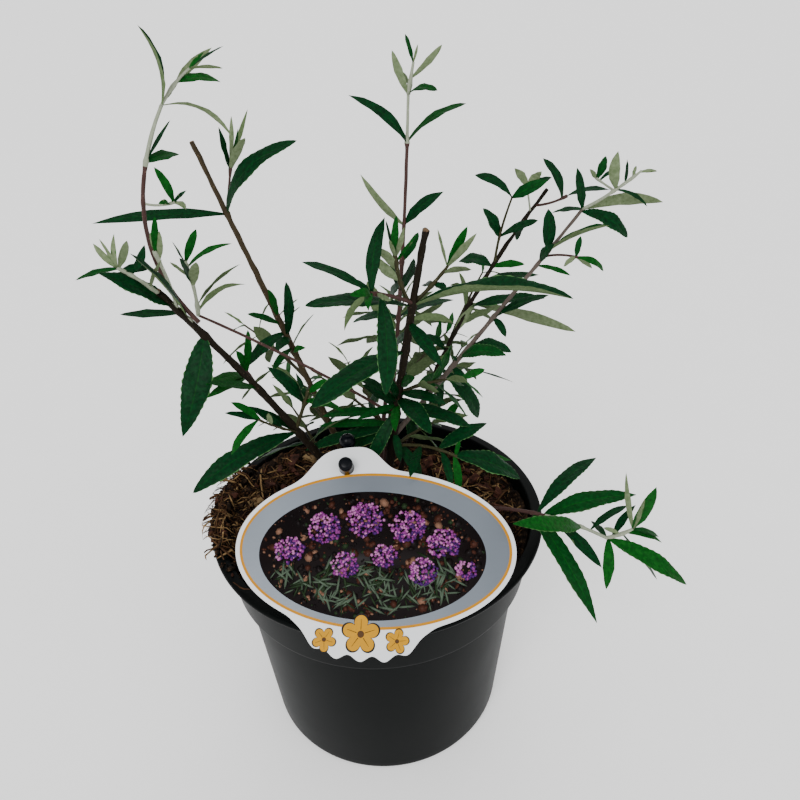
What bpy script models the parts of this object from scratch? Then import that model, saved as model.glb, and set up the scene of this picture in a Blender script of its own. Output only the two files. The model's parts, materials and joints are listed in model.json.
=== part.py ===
"""Young butterfly bush in a round black nursery pot, with an oval label on a peg.

The origin is the centre of the pot's underside. +Z is up and -Y is the front, where the label leans on
the rim. Stems and boughs are tapering limbs, and each mass of foliage is one closed, uneven solid that
starts at its limb and reaches to its furthest leaf tip.
"""

import math
import random
from collections import namedtuple

import bmesh
import bpy
from mathutils import Matrix, Vector
from mathutils.bvhtree import BVHTree

MM = 0.001
CLEARANCE = 0.4 * MM

# Pot: a 17 cm nursery pot of 2 litres
POT_HEIGHT = 130 * MM
RIM_RADIUS = 85 * MM
COLLAR_TOP_RADIUS = 80.5 * MM
COLLAR_FOOT_RADIUS = 77.5 * MM
COLLAR_DEPTH = 30 * MM
BODY_TOP_RADIUS = 73.5 * MM
BASE_RADIUS = 65.5 * MM
CORNER_RADIUS = 5 * MM
LIP_THICKNESS = 3 * MM
WALL = 1.6 * MM
POT_SEGMENTS = 40

DRAIN_HOLES = 8
DRAIN_HOLE_RADIUS = 4 * MM
DRAIN_RING_RADIUS = 52 * MM

# Compost: nearly level, heaped to the rim on the left
COMPOST_LEVEL = 116 * MM
COMPOST_HEAP = 9 * MM
COMPOST_HEAP_BEARING = math.radians(165)
COMPOST_RINGS = 4
LEVEL_SPOT_RADIUS = 20 * MM

# Woody foot of the plant, cut flat where it meets the compost
FOOT_RADIUS = 9 * MM
FOOT_TOP_RADIUS = 5.5 * MM
FOOT_HEIGHT = 15 * MM
FOOT_STATIONS = (0, 0.35, 0.7, 1)
FOOT_SIDES = 10
FOOT_UNEVENNESS = 0.1

# Label plate: an oval with a tab above and a scalloped edge below, leaning on the front of the rim
PLATE_HALF_WIDTH = 62 * MM
PLATE_HALF_HEIGHT = 36 * MM
PLATE_THICKNESS = 1.2 * MM
PLATE_LEAN = math.radians(38)
PLATE_TURN = math.radians(-3)
PLATE_ROLL = math.radians(-3)
PLATE_CENTRE = Vector((-2, -56, 154)) * MM
TAB_HEIGHT = 11 * MM
TAB_HALF_WIDTH = 17 * MM
TAB_OFFSET = -14.5 * MM
SCALLOP_DEPTH = 10 * MM
SCALLOP_HALF_WIDTH = 26 * MM
SCALLOP_OFFSET = -5 * MM
SCALLOP_LOBES = 2.5
SCALLOP_WAVE = 0.12
OUTLINE_POINTS = 72

# Peg: a stake pushed into the compost, with a knob on top and a button that holds the plate
STAKE_WIDTH = 4.6 * MM
STAKE_FOOT = 55 * MM
STAKE_TOP = 186 * MM
KNOB_RADIUS = 3.8 * MM
BUTTON_RADIUS = 3.0 * MM
BUTTON_HEAD_RADIUS = 4.2 * MM
BUTTON_ABOVE_CENTRE = 36.5 * MM
BUTTON_REACH = 22 * MM
BUTTON_HEAD_SHOULDER = 3 * MM
BUTTON_HEAD_LENGTH = 5.5 * MM
ROUND_SIDES = 12
HOLE_CLEARANCE = 0.5 * MM

LIMB_SIDES = 7
LIMB_STATIONS = 7
LIMB_UNEVENNESS = 0.06

PAD_SIDES = 6
PAD_STATIONS = (0.0, 0.18, 0.42, 0.7, 1.0)
PAD_UNEVENNESS = 0.06
TUFT_SIDES = 8
TUFT_STATIONS = (0.0, 0.14, 0.32, 0.5, 0.68, 0.85, 1.0)
TUFT_UNEVENNESS = 0.16
TUFT_LOBE = 0.22
PAD_THICKNESS_LIMIT = 6

# The side that most leaves show: upwards, and a little to the front
LEAF_FACE = Vector((0, -0.5, 0.85)).normalized()
STEEP_LEAF_FACE = Vector((0, -1, 0.1)).normalized()

Limb = namedtuple("Limb", "name start tip bow foot_radius tip_radius material")
Mass = namedtuple("Mass", "name limb share tip width thick lift material")
Solid = namedtuple("Solid", "piece envelope")

# Millimetres. A limb starts inside the foot or the limb that carries it, and bow is how far its middle
# strays from a straight line
LIMBS = (
    Limb("left_bough", (-5, 1, 122), (-79, -30, 270), (2, 8, -3), 3.7, 2.9, "old_bark"),
    Limb("back_left_bough", (-3, 5, 122), (-72, 44, 308), (2, -6, 0), 3.0, 1.9, "old_bark"),
    Limb("centre_bough", (2, -5, 122), (26, -8, 281), (-1, 0, 2), 3.7, 2.8, "old_bark"),
    Limb("leader", (1, 2, 126), (22, 16, 331), (3, 4, 0), 2.2, 1.2, "young_shoot"),
    Limb("back_right_bough", (6, 1, 121), (91, 55, 276), (-11, -5, 8), 2.4, 1.6, "old_bark"),
    Limb("right_bough", (11, -5, 180), (98, 18, 278), (2, 0, 2), 2.2, 1.5, "young_shoot"),
    Limb("left_shoot", (-67, -25, 254), (-67, -19, 335), (-13, -2, -2), 1.7, 1.1, "young_shoot"),
    Limb("spray_stem", (6, -4, 122), (105, -50, 145), (4, 8, 7), 1.8, 1.2, "young_shoot"),
    Limb("back_bough", (2, 6, 122), (12, 50, 190), (-2, -4, 4), 2.4, 1.8, "young_shoot"),
)

# Millimetres. A mass starts on its limb's middle line at a share of the limb's length, and lift is how far
# its middle rises. A mass up to the thickness limit is a pad, for one large leaf
MASSES = (
    Mass("left_top_tuft", "left_shoot", 0.98, (-45, -9, 352), 20, 12, 1, "pale_leaf"),
    Mass("left_top_leaf", "left_shoot", 0.99, (-67, -26, 361), 8, 4, 0, "leaf"),
    Mass("left_arching_leaf", "left_shoot", 0.96, (-46, -8, 322), 8, 4, 6, "pale_leaf"),
    Mass("left_node_tuft", "left_shoot", 0.76, (-60, -14, 327), 15, 8, 0, "leaf"),
    Mass("left_shoot_tuft", "left_shoot", 0.44, (-66, -26, 313), 14, 9, 0, "leaf"),
    Mass("back_left_long_leaf", "back_left_bough", 0.83, (-117, 22, 282), 14, 4, 3, "leaf"),
    Mass("back_left_broad_leaf", "back_left_bough", 0.83, (-26, 30, 310), 14, 4, 5, "leaf"),
    Mass("back_left_tip", "back_left_bough", 0.84, (-50, 34, 324), 18, 10, 0, "leaf"),
    Mass("left_end_tuft", "left_bough", 0.98, (-109, -37, 281), 22, 12, 3, "leaf"),
    Mass("left_end_tips", "left_bough", 0.90, (-94, -32, 301), 15, 8, 0, "pale_leaf"),
    Mass("left_fork_tips", "left_bough", 0.84, (-60, -20, 292), 18, 10, 0, "pale_leaf"),
    Mass("left_droop_leaf", "left_bough", 0.84, (-77, -50, 214), 15, 4, 3, "leaf"),
    Mass("left_stem_leaves", "left_bough", 0.66, (-74, -40, 226), 14, 6, 3, "leaf"),
    Mass("left_inner_leaves", "left_bough", 0.57, (-30, -2, 240), 16, 8, 0, "leaf"),
    Mass("left_low_tuft", "left_bough", 0.39, (-68, -28, 210), 20, 10, 2, "leaf"),
    Mass("left_low_leaf", "left_bough", 0.34, (-84, -31, 170), 15, 5, 5, "leaf"),
    Mass("back_left_low_tuft", "back_left_bough", 0.25, (-44, 58, 176), 26, 13, 4, "leaf"),
    Mass("centre_left_leaf", "centre_bough", 0.80, (-26, -20, 260), 14, 6, 2, "leaf"),
    Mass("centre_left_tuft", "centre_bough", 0.83, (2, -14, 292), 20, 11, 0, "leaf"),
    Mass("centre_right_tuft", "centre_bough", 0.82, (44, 5, 278), 16, 9, 1, "pale_leaf"),
    Mass("centre_right_leaf", "centre_bough", 0.79, (82, -31, 259), 13, 5, 3, "leaf"),
    Mass("front_leaf", "centre_bough", 0.73, (6, -42, 222), 15, 5, 3, "leaf"),
    Mass("front_low_leaf", "centre_bough", 0.66, (32, -34, 228), 13, 5, 2, "leaf"),
    Mass("leader_low_left_leaf", "leader", 0.76, (1, 14, 300), 8, 4, 1, "pale_leaf"),
    Mass("leader_low_right_leaf", "leader", 0.76, (38, 14, 291), 8, 4, 2, "leaf"),
    Mass("leader_high_left_leaf", "leader", 0.93, (-3, 14, 330), 9, 4, 1, "leaf"),
    Mass("leader_high_right_leaf", "leader", 0.93, (46, 14, 326), 8, 4, 2, "leaf"),
    Mass("leader_tip", "leader", 0.98, (22, 14, 352), 20, 11, 0, "pale_leaf"),
    Mass("back_right_thin_tuft", "back_right_bough", 0.78, (69, 36, 296), 20, 10, 0, "leaf"),
    Mass("back_right_leaf", "back_right_bough", 0.91, (129, 40, 256), 13, 5, 4, "leaf"),
    Mass("back_right_low_tuft", "back_right_bough", 0.22, (54, 64, 188), 26, 13, 3, "leaf"),
    Mass("right_tip", "right_bough", 0.96, (129, 14, 296), 24, 13, 2, "pale_leaf"),
    Mass("right_upper_tuft", "right_bough", 0.93, (87, 29, 302), 16, 9, 0, "leaf"),
    Mass("right_middle_tuft", "right_bough", 0.74, (108, 9, 256), 18, 9, 2, "leaf"),
    Mass("right_low_leaf", "right_bough", 0.54, (96, -2, 229), 12, 5, 2, "leaf"),
    Mass("right_inner_leaves", "back_right_bough", 0.48, (73, 24, 206), 18, 8, 2, "leaf"),
    Mass("heart_right", "centre_bough", 0.41, (54, -14, 188), 28, 14, 2, "leaf"),
    Mass("heart_left", "centre_bough", 0.43, (-28, -16, 212), 28, 16, 0, "leaf"),
    Mass("pot_right_tuft", "centre_bough", 0.17, (63, -16, 168), 26, 12, 3, "leaf"),
    Mass("spray_up_leaf", "spray_stem", 0.58, (114, 2, 154), 14, 5, 3, "leaf"),
    Mass("spray_middle_leaf", "spray_stem", 0.64, (126, -30, 152), 12, 5, 3, "leaf"),
    Mass("spray_down_leaf", "spray_stem", 0.79, (98, -72, 112), 15, 5, 3, "leaf"),
    Mass("spray_tip", "spray_stem", 0.98, (142, -60, 124), 16, 6, 3, "leaf"),
    Mass("spray_end_tips", "spray_stem", 0.96, (119, -60, 172), 16, 8, 0, "pale_leaf"),
    Mass("back_tuft", "back_bough", 0.92, (20, 88, 208), 30, 15, 3, "leaf"),
)

FINISHES = {
    "pot_plastic": ((0.030, 0.034, 0.035), 0.45),
    "compost": ((0.075, 0.045, 0.028), 0.95),
    "old_bark": ((0.085, 0.042, 0.030), 0.80),
    "young_shoot": ((0.170, 0.075, 0.050), 0.65),
    "leaf": ((0.028, 0.110, 0.030), 0.50),
    "pale_leaf": ((0.240, 0.340, 0.210), 0.70),
    "label": ((0.800, 0.810, 0.820), 0.30),
    "peg": ((0.012, 0.013, 0.016), 0.25),
}


def clear_scene():
    """Remove every object, so that the model starts from nothing."""
    for old in list(bpy.data.objects):
        bpy.data.objects.remove(old)


def finish(name):
    """A Principled material with the colour and roughness of a named finish."""
    colour, roughness = FINISHES[name]
    material = bpy.data.materials.new(name)
    material.use_nodes = True
    shader = material.node_tree.nodes["Principled BSDF"]
    shader.inputs["Base Color"].default_value = (*colour, 1)
    shader.inputs["Roughness"].default_value = roughness
    shader.inputs["Metallic"].default_value = 0
    return material


def new_piece(name, form, material):
    """An object made from a bmesh, which is freed."""
    bmesh.ops.recalc_face_normals(form, faces=form.faces)
    mesh = bpy.data.meshes.new(name)
    form.to_mesh(mesh)
    form.free()
    mesh.materials.append(finish(material))
    piece = bpy.data.objects.new(name, mesh)
    bpy.context.scene.collection.objects.link(piece)
    return piece


def skin_rings(form, rings):
    """Join rings of points into one closed skin. A ring of one point is a pole."""
    loops = [[form.verts.new(point) for point in ring] for ring in rings]
    for low, high in zip(loops, loops[1:]):
        count = max(len(low), len(high))
        for i in range(count):
            j = (i + 1) % count
            corners = [low[i % len(low)], low[j % len(low)], high[j % len(high)], high[i % len(high)]]
            form.faces.new(list(dict.fromkeys(corners)))
    for end in (loops[0], loops[-1]):
        if len(end) > 1:
            form.faces.new(end)


def turned(profile, segments):
    """Rings of points for a profile of (radius, height) turned about Z."""
    rings = []
    for radius, height in profile:
        angles = [math.tau * i / segments for i in range(segments if radius > 0 else 1)]
        rings.append([Vector((radius * math.cos(a), radius * math.sin(a), height)) for a in angles])
    return rings


def arc(centre, radius, start, end, steps):
    """Points of a profile on an arc, with both ends."""
    angles = [start + (end - start) * i / steps for i in range(steps + 1)]
    return [(centre[0] + radius * math.cos(a), centre[1] + radius * math.sin(a)) for a in angles]


def outer_radius(height):
    """The pot's outer radius below its lip: a tapering body, and a wider collar on top."""
    step = POT_HEIGHT - COLLAR_DEPTH
    if height < step:
        return BASE_RADIUS + (BODY_TOP_RADIUS - BASE_RADIUS) * height / step
    return COLLAR_FOOT_RADIUS + (COLLAR_TOP_RADIUS - COLLAR_FOOT_RADIUS) * (height - step) / COLLAR_DEPTH


def pot_profile():
    """The pot's section from the middle of its underside, up outside and down inside."""
    step = POT_HEIGHT - COLLAR_DEPTH
    under_lip = POT_HEIGHT - LIP_THICKNESS
    corner = (BASE_RADIUS - CORNER_RADIUS, CORNER_RADIUS)
    outside = [(0, 0)] + arc(corner, CORNER_RADIUS, -math.pi / 2, 0, 3)
    outside += [(BODY_TOP_RADIUS, step - WALL), (COLLAR_FOOT_RADIUS, step)]
    outside += [(outer_radius(under_lip), under_lip)]
    lip_middle = (RIM_RADIUS - LIP_THICKNESS / 2, POT_HEIGHT - LIP_THICKNESS / 2)
    outside += arc(lip_middle, LIP_THICKNESS / 2, -math.pi / 2, math.pi / 2, 3)
    inside = [(COLLAR_TOP_RADIUS - WALL, POT_HEIGHT), (COLLAR_FOOT_RADIUS - WALL, step + WALL)]
    inside += [(BODY_TOP_RADIUS - WALL, step)]
    inside += [(BASE_RADIUS - WALL, CORNER_RADIUS), (BASE_RADIUS - CORNER_RADIUS, WALL), (0, WALL)]
    return outside + inside


def make_pot():
    """The pot: a turned shell with an out-turned lip, a collar and a ring of drain holes."""
    form = bmesh.new()
    skin_rings(form, turned(pot_profile(), POT_SEGMENTS))
    pot = new_piece("pot", form, "pot_plastic")
    for i in range(DRAIN_HOLES):
        bearing = math.tau * (i + 0.5) / DRAIN_HOLES
        middle = Vector((math.cos(bearing), math.sin(bearing), 0)) * DRAIN_RING_RADIUS
        hole = turned([(DRAIN_HOLE_RADIUS, -4 * WALL), (DRAIN_HOLE_RADIUS, 4 * WALL)], 8)
        form = bmesh.new()
        skin_rings(form, [[middle + point for point in ring] for ring in hole])
        cut_away(pot, new_piece("drain_cutter", form, "pot_plastic"))
    return pot


def compost_height(x, y):
    """Height of the compost's surface: level about the foot, heaped towards one side."""
    distance = math.hypot(x, y)
    towards = math.cos(math.atan2(y, x) - COMPOST_HEAP_BEARING)
    slope = max(0, distance - LEVEL_SPOT_RADIUS) / (RIM_RADIUS - LEVEL_SPOT_RADIUS)
    return COMPOST_LEVEL + COMPOST_HEAP * slope * towards


def compost_ring(share):
    """Points of the surface at a share of the way out from the middle to the pot's wall."""
    points = []
    for i in range(POT_SEGMENTS):
        bearing = math.tau * i / POT_SEGMENTS
        edge = inner_radius(COMPOST_LEVEL) - CLEARANCE
        if share == 1:
            height = compost_height(edge * math.cos(bearing), edge * math.sin(bearing))
            edge = inner_radius(height) - CLEARANCE
        x = share * edge * math.cos(bearing)
        y = share * edge * math.sin(bearing)
        points.append(Vector((x, y, compost_height(x, y))))
    return points


def inner_radius(height):
    """The pot's inner radius at a height."""
    return outer_radius(height) - WALL


def make_compost(pockets):
    """The compost that fills the pot, with a pocket round each piece that is pushed into it."""
    step = POT_HEIGHT - COLLAR_DEPTH
    floor = WALL + CLEARANCE
    low = BASE_RADIUS - CORNER_RADIUS - CLEARANCE
    sides = [(0, floor), (low, floor)]
    sides += [(inner_radius(CORNER_RADIUS) - 2 * CLEARANCE, CORNER_RADIUS + CLEARANCE)]
    sides += [(BODY_TOP_RADIUS - WALL - CLEARANCE, step)]
    sides += [(COLLAR_FOOT_RADIUS - WALL - CLEARANCE, step + 2 * WALL)]
    surface = [compost_ring(share / COMPOST_RINGS) for share in range(COMPOST_RINGS, 0, -1)]
    middle = [[Vector((0, 0, COMPOST_LEVEL))]]
    form = bmesh.new()
    skin_rings(form, turned(sides, POT_SEGMENTS) + surface + middle)
    compost = new_piece("compost", form, "compost")
    for piece in pockets:
        cut_by_mesh(compost, envelope_of(piece))
    return compost


def plate_matrix():
    """Place of the plate: X across it, Y up its slope and Z out of its face."""
    turn = Matrix.Rotation(PLATE_TURN, 4, "Z")
    lean = Matrix.Rotation(PLATE_LEAN, 4, "X")
    roll = Matrix.Rotation(PLATE_ROLL, 4, "Z")
    return Matrix.Translation(PLATE_CENTRE) @ turn @ lean @ roll


def plate_outline():
    """The plate's outline: an oval, pushed out by a bell-shaped tab and a row of scallops."""
    points = []
    for i in range(OUTLINE_POINTS):
        bearing = math.tau * i / OUTLINE_POINTS
        x = PLATE_HALF_WIDTH * math.cos(bearing)
        y = PLATE_HALF_HEIGHT * math.sin(bearing)
        if y > 0:
            y += TAB_HEIGHT * math.exp(-(((x - TAB_OFFSET) / TAB_HALF_WIDTH) ** 4))
        else:
            across = (x - SCALLOP_OFFSET) / SCALLOP_HALF_WIDTH
            scallop = 1 + SCALLOP_WAVE * math.cos(math.tau * SCALLOP_LOBES * across)
            y -= SCALLOP_DEPTH * scallop * math.exp(-(across**6))
        points.append((x, y))
    return points


def button_place():
    """Where the button's axis meets the plate, in the plate's own frame."""
    return Vector((TAB_OFFSET, BUTTON_ABOVE_CENTRE, 0))


def make_label_plate():
    """The label: a thin plate with a hole for the button."""
    half = PLATE_THICKNESS / 2
    form = bmesh.new()
    skin_rings(form, [[Vector((x, y, z)) for x, y in plate_outline()] for z in (-half, half)])
    form.transform(plate_matrix())
    plate = new_piece("label_plate", form, "label")
    reach = 4 * PLATE_THICKNESS
    hole_radius = BUTTON_RADIUS + HOLE_CLEARANCE
    hole = turned([(hole_radius, -reach), (hole_radius, reach)], ROUND_SIDES)
    form = bmesh.new()
    skin_rings(form, [[button_place() + point for point in ring] for ring in hole])
    form.transform(plate_matrix())
    cut_away(plate, new_piece("hole_cutter", form, "label"))
    return plate


def make_label_peg():
    """The peg: a stake with a round knob, and a button through the plate's tab."""
    place = plate_matrix()
    button = place @ button_place()
    out = (place.to_3x3() @ Vector((0, 0, 1))).normalized()
    stake_middle = button - out * BUTTON_REACH
    half = STAKE_WIDTH / 2
    stake = [(half * math.sqrt(2), STAKE_FOOT), (half * math.sqrt(2), STAKE_TOP - KNOB_RADIUS)]
    form = bmesh.new()
    skin_rings(form, turned([(0, STAKE_FOOT - 3 * half)] + stake, 4))
    form.transform(Matrix.Rotation(math.pi / 4, 4, "Z"))
    form.transform(Matrix.Translation((stake_middle.x, stake_middle.y, 0)))
    peg = new_piece("label_peg", form, "peg")

    head = PLATE_THICKNESS / 2 + CLEARANCE
    button_profile = [(BUTTON_RADIUS, -BUTTON_REACH), (BUTTON_RADIUS, head), (BUTTON_HEAD_RADIUS, head)]
    button_profile += [(BUTTON_HEAD_RADIUS, head + BUTTON_HEAD_SHOULDER)]
    button_profile += [(BUTTON_HEAD_RADIUS / 2, head + BUTTON_HEAD_LENGTH)]
    form = bmesh.new()
    rings = turned(button_profile, ROUND_SIDES)
    skin_rings(form, [[button_place() + point for point in ring] for ring in rings])
    form.transform(place)
    join_on(peg, new_piece("button", form, "peg"))

    knob_middle = (0, STAKE_TOP - KNOB_RADIUS)
    knob_profile = arc(knob_middle, KNOB_RADIUS, -math.pi / 2, math.pi / 2, 6)
    knob_profile = [(0, knob_profile[0][1])] + knob_profile[1:-1] + [(0, STAKE_TOP)]
    form = bmesh.new()
    skin_rings(form, turned(knob_profile, ROUND_SIDES))
    form.transform(Matrix.Translation((stake_middle.x, stake_middle.y, 0)))
    join_on(peg, new_piece("knob", form, "peg"))
    return peg


def bent_path(start, tip, bow, stations):
    """Points and directions on a curve whose middle strays from the straight line by bow."""
    bend = (start + tip) / 2 + 2 * bow
    path = []
    for s in stations:
        point = (1 - s) ** 2 * start + 2 * s * (1 - s) * bend + s**2 * tip
        along = (1 - s) * (bend - start) + s * (tip - bend)
        path.append((s, point, along.normalized()))
    return path


def cross_ring(point, along, face, half_width, half_thick, factors):
    """An uneven oval ring across a path, with its flat side turned to face."""
    side = along.cross(face).normalized()
    out = side.cross(along)
    ring = []
    for i, factor in enumerate(factors):
        angle = math.tau * i / len(factors)
        offset = side * half_width * math.cos(angle) + out * half_thick * math.sin(angle)
        ring.append(point + offset * factor)
    return ring


def limb_curve(limb, stations):
    """Path of a limb along its middle line."""
    return bent_path(Vector(limb.start) * MM, Vector(limb.tip) * MM, Vector(limb.bow) * MM, stations)


def seat_of(mass):
    """Where a mass starts: a point on the middle line of its limb."""
    limb = next(limb for limb in LIMBS if limb.name == mass.limb)
    return limb_curve(limb, [mass.share])[0][1]


def make_limb(limb):
    """A tapering limb with flat ends, slightly uneven all along."""
    chance = random.Random(limb.name)
    stations = [i / (LIMB_STATIONS - 1) for i in range(LIMB_STATIONS)]
    rings = []
    for s, point, along in limb_curve(limb, stations):
        radius = (limb.foot_radius + (limb.tip_radius - limb.foot_radius) * s) * MM
        factors = [1 + LIMB_UNEVENNESS * chance.uniform(-1, 1) for _ in range(LIMB_SIDES)]
        rings.append(cross_ring(point, along, Vector((0, 1, 0)), radius, radius, factors))
    form = bmesh.new()
    skin_rings(form, rings)
    return new_piece(limb.name, form, limb.material)


def mass_outline(s):
    """Share of the full width at a station: quick to widen, widest before the middle, then tapering."""
    return math.sin(math.pi * s**0.8) ** 0.75


def make_mass(mass):
    """A mass of foliage: a pad for a large leaf, or a lobed tuft for a leafy shoot."""
    chance = random.Random(mass.name)
    is_pad = mass.thick <= PAD_THICKNESS_LIMIT
    stations = PAD_STATIONS if is_pad else TUFT_STATIONS
    sides = PAD_SIDES if is_pad else TUFT_SIDES
    unevenness = PAD_UNEVENNESS if is_pad else TUFT_UNEVENNESS
    path = bent_path(seat_of(mass), Vector(mass.tip) * MM, Vector((0, 0, mass.lift)) * MM, stations)
    rings = []
    for level, (s, point, along) in enumerate(path):
        if s in (0, 1):
            rings.append([point])
            continue
        steep = abs(along.dot(LEAF_FACE)) > 0.9
        lobe = 0 if is_pad else TUFT_LOBE * (-1) ** level
        half_width = mass.width * MM / 2 * mass_outline(s) * (1 + lobe)
        half_thick = mass.thick * MM / 2 * mass_outline(s) * (1 - lobe)
        factors = [1 + unevenness * chance.uniform(-1, 1) for _ in range(sides)]
        face = STEEP_LEAF_FACE if steep else LEAF_FACE
        rings.append(cross_ring(point, along, face, half_width, half_thick, factors))
    form = bmesh.new()
    skin_rings(form, rings)
    return new_piece(mass.name, form, mass.material)


def make_foot():
    """The woody foot: a short uneven stump that the limbs leave."""
    chance = random.Random("foot")
    rings = []
    for s in FOOT_STATIONS:
        radius = FOOT_RADIUS + (FOOT_TOP_RADIUS - FOOT_RADIUS) * s
        middle = Vector((0, 0, COMPOST_LEVEL + CLEARANCE + FOOT_HEIGHT * s))
        factors = [1 + FOOT_UNEVENNESS * chance.uniform(-1, 1) for _ in range(FOOT_SIDES)]
        rings.append(cross_ring(middle, Vector((0, 0, 1)), Vector((0, 1, 0)), radius, radius, factors))
    form = bmesh.new()
    skin_rings(form, rings)
    return new_piece("foot", form, "old_bark")


def boolean(piece, tool, operation):
    """Apply an exact Boolean with a tool, and remove the tool."""
    tool.hide_render = True
    tool.display_type = "WIRE"
    step = piece.modifiers.new(operation.lower(), "BOOLEAN")
    step.operation = operation
    step.solver = "EXACT"
    step.object = tool
    graph = bpy.context.evaluated_depsgraph_get()
    mesh = bpy.data.meshes.new_from_object(piece.evaluated_get(graph))
    piece.modifiers.clear()
    piece.data = mesh
    bpy.data.objects.remove(tool)


def cut_away(piece, cutter):
    """Cut a piece by a cutter, which is removed."""
    boolean(piece, cutter, "DIFFERENCE")


def join_on(piece, addition):
    """Unite a piece with an addition that overlaps it."""
    boolean(piece, addition, "UNION")


def envelope_of(piece):
    """A mesh whose surface lies the clearance outside a piece."""
    form = bmesh.new()
    form.from_mesh(piece.data)
    form.normal_update()
    for vertex in form.verts:
        vertex.co += vertex.normal * CLEARANCE * vertex.calc_shell_factor()
    mesh = bpy.data.meshes.new("envelope")
    form.to_mesh(mesh)
    form.free()
    return mesh


def cut_by_mesh(piece, mesh):
    """Cut a piece by a closed mesh."""
    cutter = bpy.data.objects.new("cutter", mesh)
    bpy.context.scene.collection.objects.link(cutter)
    cut_away(piece, cutter)


def surfaces_cross(one, two):
    """Whether two meshes' surfaces cut through each other."""
    trees = []
    for mesh in (one, two):
        faces = [tuple(face.vertices) for face in mesh.polygons]
        trees.append(BVHTree.FromPolygons([vertex.co for vertex in mesh.vertices], faces))
    return bool(trees[0].overlap(trees[1]))


def joined_bodies(form):
    """Lists of vertices, one for each separate body of a bmesh."""
    left = set(form.verts)
    bodies = []
    while left:
        start = left.pop()
        body = {start}
        front = [start]
        while front:
            fresh = {edge.other_vert(front[-1]) for edge in front[-1].link_edges} - body
            front.pop()
            body |= fresh
            front += fresh
        left -= body
        bodies.append(list(body))
    return bodies


def surface_area(body):
    """Area of the faces that meet a body's vertices."""
    return sum(face.calc_area() for face in {face for vertex in body for face in vertex.link_faces})


def keep_largest_body(piece):
    """Delete the crumbs that a cut leaves."""
    form = bmesh.new()
    form.from_mesh(piece.data)
    for crumb in sorted(joined_bodies(form), key=surface_area)[:-1]:
        bmesh.ops.delete(form, geom=crumb, context="VERTS")
    form.to_mesh(piece.data)
    form.free()


def settle(piece, settled):
    """Cut a piece back from all that is settled already, with a clearance, and add it to them."""
    envelope = envelope_of(piece)
    for other in settled:
        if surfaces_cross(piece.data, other.envelope):
            cut_by_mesh(piece, other.envelope)
    keep_largest_body(piece)
    settled.append(Solid(piece, envelope))


def main():
    """Build the pot, its filling and label, then the limbs and the masses of foliage."""
    clear_scene()
    peg = make_label_peg()
    fixed = [make_pot(), peg, make_label_plate(), make_compost([peg]), make_foot()]
    settled = [Solid(piece, envelope_of(piece)) for piece in fixed]
    for limb in LIMBS:
        settle(make_limb(limb), settled)
    for mass in MASSES:
        settle(make_mass(mass), settled)


main()
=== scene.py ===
"""Looks of a young butterfly bush in its round black nursery pot, with an oval label on a peg.

Everything is in metres in the frame's own axes: +Z up from the centre of the pot's underside, -Y to the
front. Stems are tubes with the bark's relief, carried along the same curves as the frame's limbs. Leaves
grow on them at named shares of their length, and each mass of foliage is replaced by the leaves of its
limb. What the photograph hides is grown by a seeded rule of opposite pairs.
"""

import json
import logging
import math
from dataclasses import dataclass, field
from enum import Enum

import bpy
import numpy as np
from mathutils import Matrix, Vector
from mathutils.geometry import tessellate_polygon

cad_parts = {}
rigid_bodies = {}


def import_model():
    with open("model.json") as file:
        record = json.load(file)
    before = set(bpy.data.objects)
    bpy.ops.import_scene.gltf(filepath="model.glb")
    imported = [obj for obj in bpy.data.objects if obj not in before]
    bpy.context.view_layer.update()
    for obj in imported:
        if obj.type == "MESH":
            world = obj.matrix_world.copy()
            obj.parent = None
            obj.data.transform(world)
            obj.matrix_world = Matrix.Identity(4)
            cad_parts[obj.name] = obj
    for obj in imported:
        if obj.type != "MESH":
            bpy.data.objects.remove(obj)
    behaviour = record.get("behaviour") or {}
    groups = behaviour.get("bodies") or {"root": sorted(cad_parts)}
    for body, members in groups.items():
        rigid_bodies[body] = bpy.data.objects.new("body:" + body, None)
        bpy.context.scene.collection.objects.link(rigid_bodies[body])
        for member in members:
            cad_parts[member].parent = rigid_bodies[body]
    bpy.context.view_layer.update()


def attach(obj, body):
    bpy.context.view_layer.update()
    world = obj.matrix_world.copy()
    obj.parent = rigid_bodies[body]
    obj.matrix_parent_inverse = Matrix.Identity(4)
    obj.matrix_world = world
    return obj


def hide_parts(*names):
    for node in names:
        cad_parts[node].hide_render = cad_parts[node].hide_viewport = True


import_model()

LOG = logging.getLogger("butterfly_bush")
BODY = "root"
MM = 0.001
TAU = 2 * math.pi
SEED = 20
Chance = np.random.Generator
Socket = bpy.types.NodeSocket
Array = np.ndarray


class Tone(Enum):
    """Age of a leaf, which sets the colours of its two sides."""

    DARK = "dark"
    MID = "mid"
    BRIGHT = "bright"
    PALE = "pale"


class Bark(Enum):
    """Cover of a stem."""

    OLD = "old_bark"
    YOUNG = "young_shoot"
    SILVER = "silver"
    GREEN = "green"


DARK, MID, BRIGHT, PALE = Tone
OLD, YOUNG, SILVER, GREEN = Bark


@dataclass(frozen=True)
class Limb:
    """A stem of the frame: millimetres, on a curve whose middle strays from a straight line by bow, felted
    pale from a share of its length."""

    name: str
    start: tuple
    tip: tuple
    bow: tuple
    foot_radius: float
    tip_radius: float
    bark: Bark
    masses: tuple
    felt_from: float = 2.0


@dataclass(frozen=True)
class Shoot:
    """A side shoot that starts at a share of its parent's length: millimetres, with its bow."""

    name: str
    parent: str
    share: float
    tip: tuple
    bow: tuple
    foot_radius: float
    tip_radius: float
    bark: Bark = YOUNG


@dataclass(frozen=True)
class Leaf:
    """One leaf, in millimetres: the share of its shoot's length where it starts, its tip, its width, how
    far its middle rises towards its upper side, how many degrees it turns about its own axis, its tone, and
    how far its two halves fold up."""

    share: float
    tip: tuple
    width: float
    arch: float
    roll: float
    tone: Tone = DARK
    fold: float = 0.3


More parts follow.
